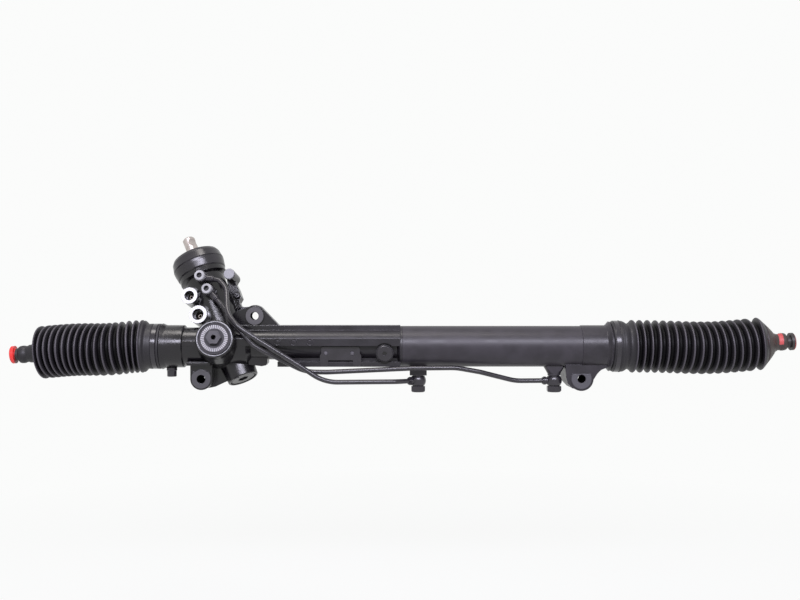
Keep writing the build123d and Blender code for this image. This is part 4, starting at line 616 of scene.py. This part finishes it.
def torn_cap(material, place):
    """Mask of the scrap of red plastic caught on the right neck."""
    ring = zone(material, SCRAP_AT, RIGHT, -3 * MM, 3 * MM, 9 * MM, soft=0.8 * MM,
                place=place)
    middle = (SCRAP_AT[0], 0.0, RACK_HEIGHT)
    front = zone(material, middle, SCRAP_OUT, 4 * MM, 50 * MM, 1.0, place=place)
    return product(material, ring, front)


def adjuster_paint():
    """Zinc-grey adjuster: pale ring of teeth with dark notches round a darker middle."""
    material = painted("thin_paint_on_zinc", ZINC_TONE, 0.34, 0.18, 0.3 * MM, specular=0.12)
    shader = material.node_tree.nodes["Principled BSDF"]
    inner, outer = ADJUSTER_RING
    ring = zone(material, YOKE_AT, YOKE_OUT, ADJUSTER_FACE - 0.4 * MM,
                ADJUSTER_FACE + 4 * MM, outer, inner=inner, soft=0.2 * MM)
    hexagon = zone(material, YOKE_AT, YOKE_OUT, ADJUSTER_FACE + 0.6 * MM, 60 * MM,
                   ADJUSTER_HEXAGON, soft=0.2 * MM)
    teeth = product(material, ring, between_notches(material))
    tone = mixed(material, teeth, input_source(shader.inputs["Base Color"]), ZINC_TEETH_TONE)
    tone = mixed(material, hexagon, tone, ZINC_HEXAGON_TONE)
    material.node_tree.links.new(tone, shader.inputs["Base Color"])
    return material


def between_notches(material):
    """Mask that is 1 on the adjuster's teeth and 0 round each notch."""
    nodes, links = material.node_tree.nodes, material.node_tree.links
    place = nodes.new("ShaderNodeTexCoord").outputs["Object"]
    offset = vector_node(nodes, links, "SUBTRACT", place, YOKE_AT)
    up = vector_node(nodes, links, "DOT_PRODUCT", offset, YOKE_UP)
    right = vector_node(nodes, links, "DOT_PRODUCT", offset, RIGHT)
    angle = math_node(nodes, links, "ARCTAN2", up, right)
    turns = math_node(nodes, links, "MULTIPLY", angle, ADJUSTER_NOTCHES)
    wave = math_node(nodes, links, "COSINE", turns)
    return ramp(material, wave, 0.0, 0.4, 1.0, 0.0)


def union_paint(settings):
    """Union bolts: pale painted heads, their sockets painted near black as shade."""
    material = painted("union_bolt_paint", UNION_TONE, 0.32, 0.14)
    shader = material.node_tree.nodes["Principled BSDF"]
    # painted shade: a cylinder round each bolt's axis is darkened to near black where the socket is
    shaded_sockets = [zone(material, place, UNION_OUT, -50 * MM, 50 * MM, UNION_SOCKET,
                    soft=0.3 * MM) for place in UNIONS]
    tone = mixed(material, widest(material, shaded_sockets),
                 input_source(shader.inputs["Base Color"]), scaled(settings.paint, 0.4))
    material.node_tree.links.new(tone, shader.inputs["Base Color"])
    return material


def plug_plastic(settings, side):
    """A tie rod's transit plug: red flange, black overspray nearer the neck."""
    material = plastic(f"{SIDES[side]}_plug_plastic", tuple(settings.red_plastic), 0.62)
    shader = material.node_tree.nodes["Principled BSDF"]
    low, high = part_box(f"{SIDES[side]}_rod_plug")
    end = (low + high) / 2
    end.x = high.x if side > 0 else low.x
    inner = zone(material, end, (side, 0, 0), -50 * MM, -PLUG_RED[side], 50 * MM, soft=MM)
    red = RIGHT_PLUG_TONE if side > 0 else input_source(shader.inputs["Base Color"])
    tone = mixed(material, inner, red, PLUG_OVERSPRAY_TONE)
    material.node_tree.links.new(tone, shader.inputs["Base Color"])
    return material


def plastic(name, colour, overspray):
    """Moulded plastic with black overspray where its patches pass a threshold."""
    material, shader = new_material(name, colour, 0.42)
    links = material.node_tree.links
    surface = placed(material, GROUPS["grain"], fine_scale=1300.0, coarse_scale=220.0,
                     fine_share=0.5)
    mask = ramp(material, surface.outputs["Patches"], overspray, overspray + 0.12, 0.0, 1.0)
    links.new(mixed(material, mask, colour, OVERSPRAY_TONE), shader.inputs["Base Color"])
    bumped(material, shader, surface.outputs["Height"], 0.1, 0.2 * MM)
    return material


GROUPS = {}
FINISH = {}


def make_finishes(settings):
    """Builds each shared group and material once."""
    GROUPS.update(grain=grain_group(), edges=edge_group(), zone=zone_group())
    FINISH.update(
        casting=casting_paint(settings),
        end=end_paint(settings),
        tube=painted("cylinder_paint", scaled(settings.paint, 1.9), 0.40, 0.10),
        fitting=painted("fitting_paint", scaled(settings.paint, 1.3), 0.20, 0.14,
                        specular=0.5),
        bright=painted("thin_paint_on_steel", ARM_BOLT_TONE, 0.36, 0.16),
        rivet=painted("rivet_paint", RIVET_TONE, 0.36, 0.16),
        cap=painted("cap_paint", tuple(settings.paint), 0.24, 0.12, specular=0.5),
        shaft=metal("shaft_steel", SHAFT_TONE, 0.36),
        seat=metal("seat_steel", PORT_SEAT_TONE, 0.42),
        adjuster=adjuster_paint(),
        union=union_paint(settings),
        steel=metal("machined_steel", tuple(settings.steel), 0.33),
        aluminium=metal("machined_aluminium", tuple(settings.aluminium), 0.30),
        rubber=bellows_rubber(settings),
        seal=rubbery("seal_rubber", tuple(settings.rubber), 0.42),
        bearing=plastic("bearing_plastic", BEARING_TONE, 0.95),
        left_red=plug_plastic(settings, -1),
        right_red=plug_plastic(settings, 1),
    )


PAINTED = {
    "casting": ("rack_housing",),
    "end": ("end_housing",),
    "tube": ("cylinder_tube",),
    "cap": ("valve_cap", "pinion_end_cap"),
    "fitting": ("vent_fitting", "service_plug", "nameplate", "near_pipe", "far_pipe",
                "cylinder_banjos", "cylinder_union_bolts", "bellows_clamps", "valve_banjos",
                "sealing_washers"),
    "bright": ("arm_bolt",),
    "rivet": ("nameplate_rivets",),
    "union": ("valve_union_bolts",),
    "adjuster": ("yoke_adjuster", "yoke_lock_ring"),
}
BARE = {
    "steel": ("rack_bar", "piston", "piston_snap_rings", "lock_washers", "left_ball_housing",
              "right_ball_housing", "left_tie_rod", "right_tie_rod", "pinion", "pinion_nut",
              "bearing_outer_race", "bearing_inner_race", "bearing_balls", "needle_bearing",
              "valve_sleeve", "torsion_bar", "torsion_pin", "shaft_bearing", "yoke_spring"),
    "shaft": ("input_shaft",),
    "seat": ("port_seats",),
    "aluminium": ("yoke",),
}
SOFT = {
    "seal": ("inner_rack_seal", "outer_rack_seal", "pinion_seal", "shaft_seal", "yoke_o_ring"),
    "bearing": ("rack_bushing", "piston_ring", "left_ball_seat", "right_ball_seat",
                "sleeve_rings", "yoke_liner"),
    "left_red": ("left_rod_plug",),
    "right_red": ("right_rod_plug",),
    "rubber": ("left_bellows", "right_bellows"),
}


def dress(groups):
    """Gives each named CAD node its finish."""
    for finish, names in groups.items():
        for name in names:
            node = frame["nodes"][name]
            if not node.material_slots:
                node.data.materials.append(FINISH[finish])
            for place in node.material_slots:
                place.material = FINISH[finish]


class RACK_OT_paint_castings(bpy.types.Operator):
    """Paint the castings, the cylinder, the cap, the pipes and their fittings"""

    bl_idname = "rack.paint_castings"
    bl_label = "Paint castings and pipes"

    def execute(self, context):
        make_finishes(context.scene.rack_finish)
        dress(PAINTED)
        return {"FINISHED"}


class RACK_OT_finish_metal(bpy.types.Operator):
    """Give steel and aluminium pieces their bare metal"""

    bl_idname = "rack.finish_metal"
    bl_label = "Finish bare metal"

    def execute(self, context):
        dress(BARE)
        return {"FINISHED"}


class RACK_OT_finish_soft(bpy.types.Operator):
    """Give seals, plastic seats and transit plugs their rubber or plastic"""

    bl_idname = "rack.finish_soft"
    bl_label = "Finish rubber and plastic"

    def execute(self, context):
        dress(SOFT)
        return {"FINISHED"}


# ---- bellows ------------------------------------------------------------------------
CUFF_RIDGE = 0.5            # the ridge mark of the smooth rubber
VALLEY_ROUNDING = 0.30      # a valley's radius, as a share of the step between crests
NECK_RADIUS, NECK_BORE = 10.7 * MM, 8.5 * MM
SWELL_AT, SWELL_REACH = 0.25, 0.20      # where the crests stand wider, as shares of them
# where each bellows' cuff and neck end, its cuff's bore, how its crests are spaced, and the
# depth, middle and reach of its sag, the last two as shares of its length
BELLOWS_ENDS = {
    -1: {"cuff": -50.6 * MM, "cuff_end": -69.0 * MM, "neck": 88.0 * MM, "bore": 25.3 * MM,
         "swell": 0.25, "first": 6.4 * MM, "last_gap": 16.9 * MM, "end_step": 1.35,
         "sag": (2.4 * MM, 0.34, 0.20)},
    1: {"cuff": 507.3 * MM, "cuff_end": 528.5 * MM, "neck": 56.5 * MM, "bore": 28.6 * MM,
        "swell": 0.0, "first": 7.0 * MM, "last_gap": 20.8 * MM, "end_step": 1.42,
        "sag": (2.4 * MM, 0.55, 0.25)},
}
# how far the front of a convolution is pushed outwards, in degrees, along each bellows
SKEW = {
    -1: ((0.0, 0.0), (0.14, -4.0), (0.31, 5.0), (0.45, 7.3), (0.60, 8.0), (0.72, 12.0),
         (0.83, 13.3), (0.885, 4.5), (1.0, 0.0)),
    1: ((0.0, 3.0), (0.17, 0.0), (0.37, 4.5), (0.48, 8.5), (0.60, 6.3), (0.82, 6.5),
        (0.89, -4.0), (1.0, 0.0)),
}
# radius, and how far past the last crest, of each bellows' closing end
END_FORMS = {
    -1: ((32.6, 1.2), (30.6, 2.3), (27.0, 3.4), (22.5, 4.6), (18.0, 6.0), (14.5, 8.0),
         (12.3, 10.5), (11.4, 13.5)),
    1: ((31.6, 2.2), (27.8, 5.7), (24.0, 9.3), (20.0, 13.0), (16.0, 16.4), (13.0, 18.6),
        (11.4, 20.2)),
}
# radius, and distance from the cuff's inner edge, of each cuff's outside
CUFF_FORMS = {
    -1: ((27.2, 0.0), (28.0, 0.6), (28.3, 2.6), (27.6, 3.4), (27.3, 3.9), (27.3, 9.9),
         (28.0, 10.4), (28.3, 12.0), (28.0, 15.8), (28.2, 17.6), (29.4, 18.6), (30.8, 19.8),
         (32.0, 21.2)),
    1: ((29.4, 0.0), (30.2, 0.6), (30.9, 2.0), (31.4, 3.2), (31.1, 3.9), (31.1, 9.9),
        (32.2, 10.6), (32.3, 11.6), (31.5, 12.8), (31.8, 13.8), (31.6, 15.2), (30.6, 17.4),
        (29.2, 19.6), (28.3, 21.4), (28.4, 22.6), (29.6, 24.2)),
}


def ball_joint(side):
    """Where a tie rod swings."""
    return Vector(JOINTS[f"{SIDES[side]}_tie_swing"]["pos_m"])


def rod_direction(side):
    """Unit vector out along a tie rod, from its ball joint to the middle of its plug."""
    low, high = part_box(f"{SIDES[side]}_rod_plug")
    return ((low + high) / 2 - ball_joint(side)).normalized()


def centre_line(side):
    """Point and tangent at a distance along a bellows from its cuff's outer end."""
    ends = BELLOWS_ENDS[side]
    start = Vector((ends["cuff_end"], 0, RACK_HEIGHT))
    outward = Vector((side, 0, 0))
    rod = rod_direction(side)
    neck = ball_joint(side) + rod * ends["neck"]
    length = (neck - start).length
    sag, sag_at, sag_reach = ends["sag"]

    def at(distance):
        # a cubic from the cuff's axis to the rod's, with a bell-shaped sag added
        t = distance / length
        if t <= 0:
            return start + outward * distance, outward
        if t >= 1:
            return neck + rod * (distance - length), rod
        rise = 3 * t * t - 2 * t ** 3
        point = (start * (1 - rise) + neck * rise
                 + outward * length * (t ** 3 - 2 * t * t + t) + rod * length * (t ** 3 - t * t))
        slope = ((neck - start) * (6 * t - 6 * t * t) / length
                 + outward * (3 * t * t - 4 * t + 1) + rod * (3 * t * t - 2 * t))
        away = (t - sag_at) / sag_reach
        ease = min(1.0, 5 * t, 5 * (1 - t))
        drop = sag * math.exp(-away * away) * ease
        steep = 2 * away / sag_reach * drop / length
        return (point - Vector((0, 0, drop)),
                (slope + Vector((0, 0, steep))).normalized())

    return at, length


def crest_places(side, count, length):
    """Distances of the convolutions' crests, wider spaced where they are stretched."""
    ends = BELLOWS_ENDS[side]
    first, last = ends["first"], length - ends["last_gap"]
    gaps = [1 + ends["swell"] * math.exp(-((i / count - SWELL_AT) / SWELL_REACH) ** 2)
            for i in range(count - 1)]
    gaps[-1] *= ends["end_step"]
    unit = (last - first) / sum(gaps)
    places = [first]
    for gap in gaps:
        places.append(places[-1] + gap * unit)
    return places


def arc(radius, middle_r, middle_z, angles):
    """Points round a small circle in the outline's plane."""
    return [(middle_r + radius * math.cos(math.radians(a)),
             middle_z + radius * math.sin(math.radians(a))) for a in angles]


def convolutions(crests, sizes):
    """Outline over thin round crests and wide, round-bottomed valleys."""
    line = []
    top = sizes.crest_radius - sizes.crest
    floor = sizes.crest_radius - sizes.depth
    for i, crest in enumerate(crests):
        last = i + 1 == len(crests)
        line += arc(sizes.crest, top, crest, range(-90, 31 if last else 91, 30))
        if last:
            continue
        after = crests[i + 1] - crest
        bend = VALLEY_ROUNDING * after
        line += arc(bend, floor + bend, crest + after / 2, range(225, 134, -15))
    return line


def neck_outline(length):
    """Outside of the neck, with a groove for its clip and a rounded bead at its end."""
    shape = ((0.4, 0.6), (-0.5, 1.8), (-0.5, 5.0), (0.1, 6.0), (0.3, 8.0), (0.1, 11.0),
             (-0.6, 13.0), (-1.9, 13.9))
    return [(NECK_RADIUS + r * MM, length + z * MM) for r, z in shape]


def skewed(side, share):
    """The skew at a share of a bellows' length, in radians."""
    table = SKEW[side]
    share = min(1.0, max(0.0, share))
    for (low, first), (high, second) in zip(table, table[1:]):
        if share <= high:
            return math.radians(first + (second - first) * (share - low) / (high - low))


def bent(mesh, side, at, length, crests, sizes):
    """Bends a mesh made along z onto the centre line, and marks how near a crest it is."""
    ridge = mesh.verts.layers.float.new("ridge")
    rest_place = mesh.verts.layers.float_vector.new("rest_place")
    for vert in mesh.verts:
        across, up, distance = vert.co
        height = (math.hypot(across, up) - sizes.crest_radius) / sizes.depth + 1
        folded = crests[0] - sizes.crest < distance < crests[-1] + sizes.crest
        vert[ridge] = min(1.0, max(0.0, height)) ** 3 if folded else CUFF_RIDGE
        point, tangent = at(distance)
        turn = skewed(side, distance / length)
        rise = tangent.cross(Vector((0, 1, 0))).normalized()
        rise *= 1 if rise.z > 0 else -1
        vert.co = (point + Vector((0, 1, 0)) * across * math.cos(turn)
                   - tangent * across * math.sin(turn) + rise * up)
        vert[rest_place] = vert.co


def split_outline(outer, wall, bore, at_distance):
    """Closed outlines of the parts before and after a distance along the bellows."""
    halves = []
    for keep in (lambda s: s <= at_distance, lambda s: s >= at_distance):
        skin = [(r, s) for r, s in outer if keep(s)]
        lining = [(max(r - wall, bore if s < 0 else NECK_BORE), s) for r, s in skin]
        halves.append(skin + lining[::-1])
    return halves


def make_bellows(side, sizes):
    """A bellows in two pieces: cuff and convolutions, and the closing end with its neck."""
    name = SIDES[side]
    ends = BELLOWS_ENDS[side]
    at, length = centre_line(side)
    width = abs(ends["cuff_end"] - ends["cuff"])
    crests = crest_places(side, sizes.count, length)
    cuff = [(r * MM, z * MM - width) for r, z in CUFF_FORMS[side]]
    closing = [(r * MM, crests[-1] + z * MM) for r, z in END_FORMS[side]]
    joint = closing[1][1]
    outer = cuff + convolutions(crests, sizes) + closing + neck_outline(length)
    main, tail = split_outline(outer, sizes.wall, ends["bore"], joint)
    pieces = []
    for outline, suffix in ((main, "convolutions"), (tail, "neck")):
        mesh = spun(outline, steps=128)
        bent(mesh, side, at, length, crests, sizes)
        piece = finished(mesh, f"{name}_bellows_{suffix}", FINISH["rubber"])
        pieces.append(piece)
    meeting = at(joint)[0]
    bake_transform(pieces[0])
    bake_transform(pieces[1], "rack", f"{name}_tie", start=meeting, end=at(length)[0])
    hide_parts(f"{name}_bellows")
    return pieces


class RACK_OT_make_bellows(bpy.types.Operator):
    """Make both rubber bellows with their cuffs, convolutions, cones and necks"""

    bl_idname = "rack.make_bellows"
    bl_label = "Make bellows"

    def execute(self, context):
        for side in (-1, 1):
            make_bellows(side, context.scene.rack_bellows)
        return {"FINISHED"}


# ---- studio -------------------------------------------------------------------------
FLOOR_MIDDLE, FLOOR_REACH = (0.25, 0.0, 0.0), 12.0
# each softbox: its place from the picture's middle, what it faces, its size and its colour
SOFTBOXES = {
    "key_softbox": ((0.1, -1.8, 0.99), (0.25, 0.0, 0.04), (2.0, 0.42), (0.86, 0.84, 1.0)),
    "top_softbox": ((-0.25, -0.35, 1.5), (0.15, 0.0, 0.04), (1.2, 0.5), (1.0, 0.95, 0.92)),
}


def seen_white(tree, colour, strength_elsewhere):
    """World that shows its colour to camera and mirror rays, and lights more dimly."""
    nodes, links = tree.nodes, tree.links
    nodes.clear()
    path = nodes.new("ShaderNodeLightPath")
    seen = math_node(nodes, links, "MAXIMUM", path.outputs["Is Camera Ray"],
                     path.outputs["Is Glossy Ray"])
    seen = math_node(nodes, links, "MAXIMUM", seen, path.outputs["Is Transmission Ray"])
    lit, shown = nodes.new("ShaderNodeBackground"), nodes.new("ShaderNodeBackground")
    lit.inputs["Color"].default_value = (1.0, 1.0, 1.0, 1.0)
    lit.inputs["Strength"].default_value = strength_elsewhere
    shown.inputs["Color"].default_value = (*colour, 1.0)
    mix, end = nodes.new("ShaderNodeMixShader"), nodes.new("ShaderNodeOutputWorld")
    links.new(seen, mix.inputs["Fac"])
    links.new(lit.outputs[0], mix.inputs[1])
    links.new(shown.outputs[0], mix.inputs[2])
    links.new(mix.outputs[0], end.inputs["Surface"])


def floor_material(colour):
    """Floor that keeps a faint shadow under the rack and shows the backdrop further off."""
    material = bpy.data.materials.new("studio_floor")
    material.use_nodes = True
    nodes, links = material.node_tree.nodes, material.node_tree.links
    shader = nodes["Principled BSDF"]
    shader.inputs["Base Color"].default_value = (*scaled(colour, 0.83), 1.0)
    shader.inputs["Roughness"].default_value = 0.9
    shader.inputs["Specular IOR Level"].default_value = 0.0
    glow = nodes.new("ShaderNodeEmission")
    glow.inputs["Color"].default_value = (*colour, 1.0)
    path = nodes.new("ShaderNodeLightPath")
    seen = math_node(nodes, links, "MAXIMUM", path.outputs["Is Camera Ray"],
                     path.outputs["Is Glossy Ray"])
    place = nodes.new("ShaderNodeTexCoord").outputs["Object"]
    reach = vector_node(nodes, links, "DISTANCE", place, FLOOR_MIDDLE)
    far = ramp(material, reach, 0.5, 1.3, 0.88, 1.0)
    share = math_node(nodes, links, "MULTIPLY", seen, far)
    mix = nodes.new("ShaderNodeMixShader")
    links.new(share, mix.inputs["Fac"])
    links.new(shader.outputs[0], mix.inputs[1])
    links.new(glow.outputs[0], mix.inputs[2])
    links.new(mix.outputs[0], nodes["Material Output"].inputs["Surface"])
    return material


def softbox(name, place, aim, size, power, colour):
    """Rectangular area light at a place, facing a point."""
    lamp = bpy.data.lights.new(name, "AREA")
    lamp.shape = "RECTANGLE"
    lamp.size, lamp.size_y = size
    lamp.energy = power
    lamp.color = colour
    light = bpy.data.objects.new(name, lamp)
    light.location = place
    light.rotation_euler = (Vector(aim) - Vector(place)).to_track_quat("-Z", "Y").to_euler()
    bpy.context.scene.collection.objects.link(light)


def set_camera(studio):
    """Level camera, square to the rack, at the studio's distance."""
    lens = bpy.data.cameras.new("rack_camera")
    lens.sensor_width = 36.0
    lens.lens = lens.sensor_width * studio.distance / studio.view_width
    camera = bpy.data.objects.new("rack_camera", lens)
    camera.location = Vector(studio.aim) - Vector((0, studio.distance, 0))
    camera.rotation_euler = (math.radians(90), 0, 0)
    bpy.context.scene.collection.objects.link(camera)
    bpy.context.scene.camera = camera


class RACK_OT_set_stage(bpy.types.Operator):
    """Set the camera, the pale floor and the studio lights"""

    bl_idname = "rack.set_stage"
    bl_label = "Set the studio"

    def execute(self, context):
        scene = context.scene
        studio = scene.rack_studio
        scene.view_settings.view_transform = "Standard"
        set_camera(studio)
        world = bpy.data.worlds.new("studio_surround")
        world.use_nodes = True
        seen_white(world.node_tree, tuple(studio.backdrop), studio.surround)
        scene.world = world
        mesh = bmesh.new()
        bmesh.ops.create_grid(mesh, x_segments=2, y_segments=2, size=FLOOR_REACH)
        drop = CAD_BOX[0].z - studio.floor_drop
        bmesh.ops.translate(mesh, verts=mesh.verts, vec=(FLOOR_MIDDLE[0], 0, drop))
        floor = finished(mesh, "studio_floor", floor_material(tuple(studio.backdrop)))
        powers = {"key_softbox": studio.key_power, "top_softbox": studio.top_power}
        for name, (place, aim, size, colour) in SOFTBOXES.items():
            softbox(name, Vector(studio.aim) + Vector(place), aim, size, powers[name], colour)
        return {"FINISHED"}


class RACK_PT_panel(bpy.types.Panel):
    """The rack's pieces and settings"""

    bl_label = "Steering rack"
    bl_idname = "RACK_PT_panel"
    bl_space_type = "VIEW_3D"
    bl_region_type = "UI"
    bl_category = "Steering rack"

    def draw(self, context):
        for kind in OPERATORS:
            self.layout.operator(kind.bl_idname)
        for name, kind in SETTINGS.items():
            group = getattr(context.scene, name)
            for field in kind.__annotations__:
                self.layout.prop(group, field)


SETTINGS = {"rack_studio": RackStudioSettings, "rack_finish": RackFinishSettings,
            "rack_bellows": RackBellowsSettings}
OPERATORS = (RACK_OT_paint_castings, RACK_OT_finish_metal, RACK_OT_finish_soft,
             RACK_OT_make_bellows, RACK_OT_set_stage)


def register():
    for kind in (*SETTINGS.values(), *OPERATORS, RACK_PT_panel):
        bpy.utils.register_class(kind)
    for name, kind in SETTINGS.items():
        setattr(bpy.types.Scene, name, PointerProperty(type=kind))


def unregister():
    for name in SETTINGS:
        delattr(bpy.types.Scene, name)
    for kind in (RACK_PT_panel, *reversed(OPERATORS), *reversed(SETTINGS.values())):
        bpy.utils.unregister_class(kind)


def main():
    register()
    for kind in OPERATORS:
        group, name = kind.bl_idname.split(".")
        getattr(getattr(bpy.ops, group), name)()


if __name__ == "__main__":
    main()
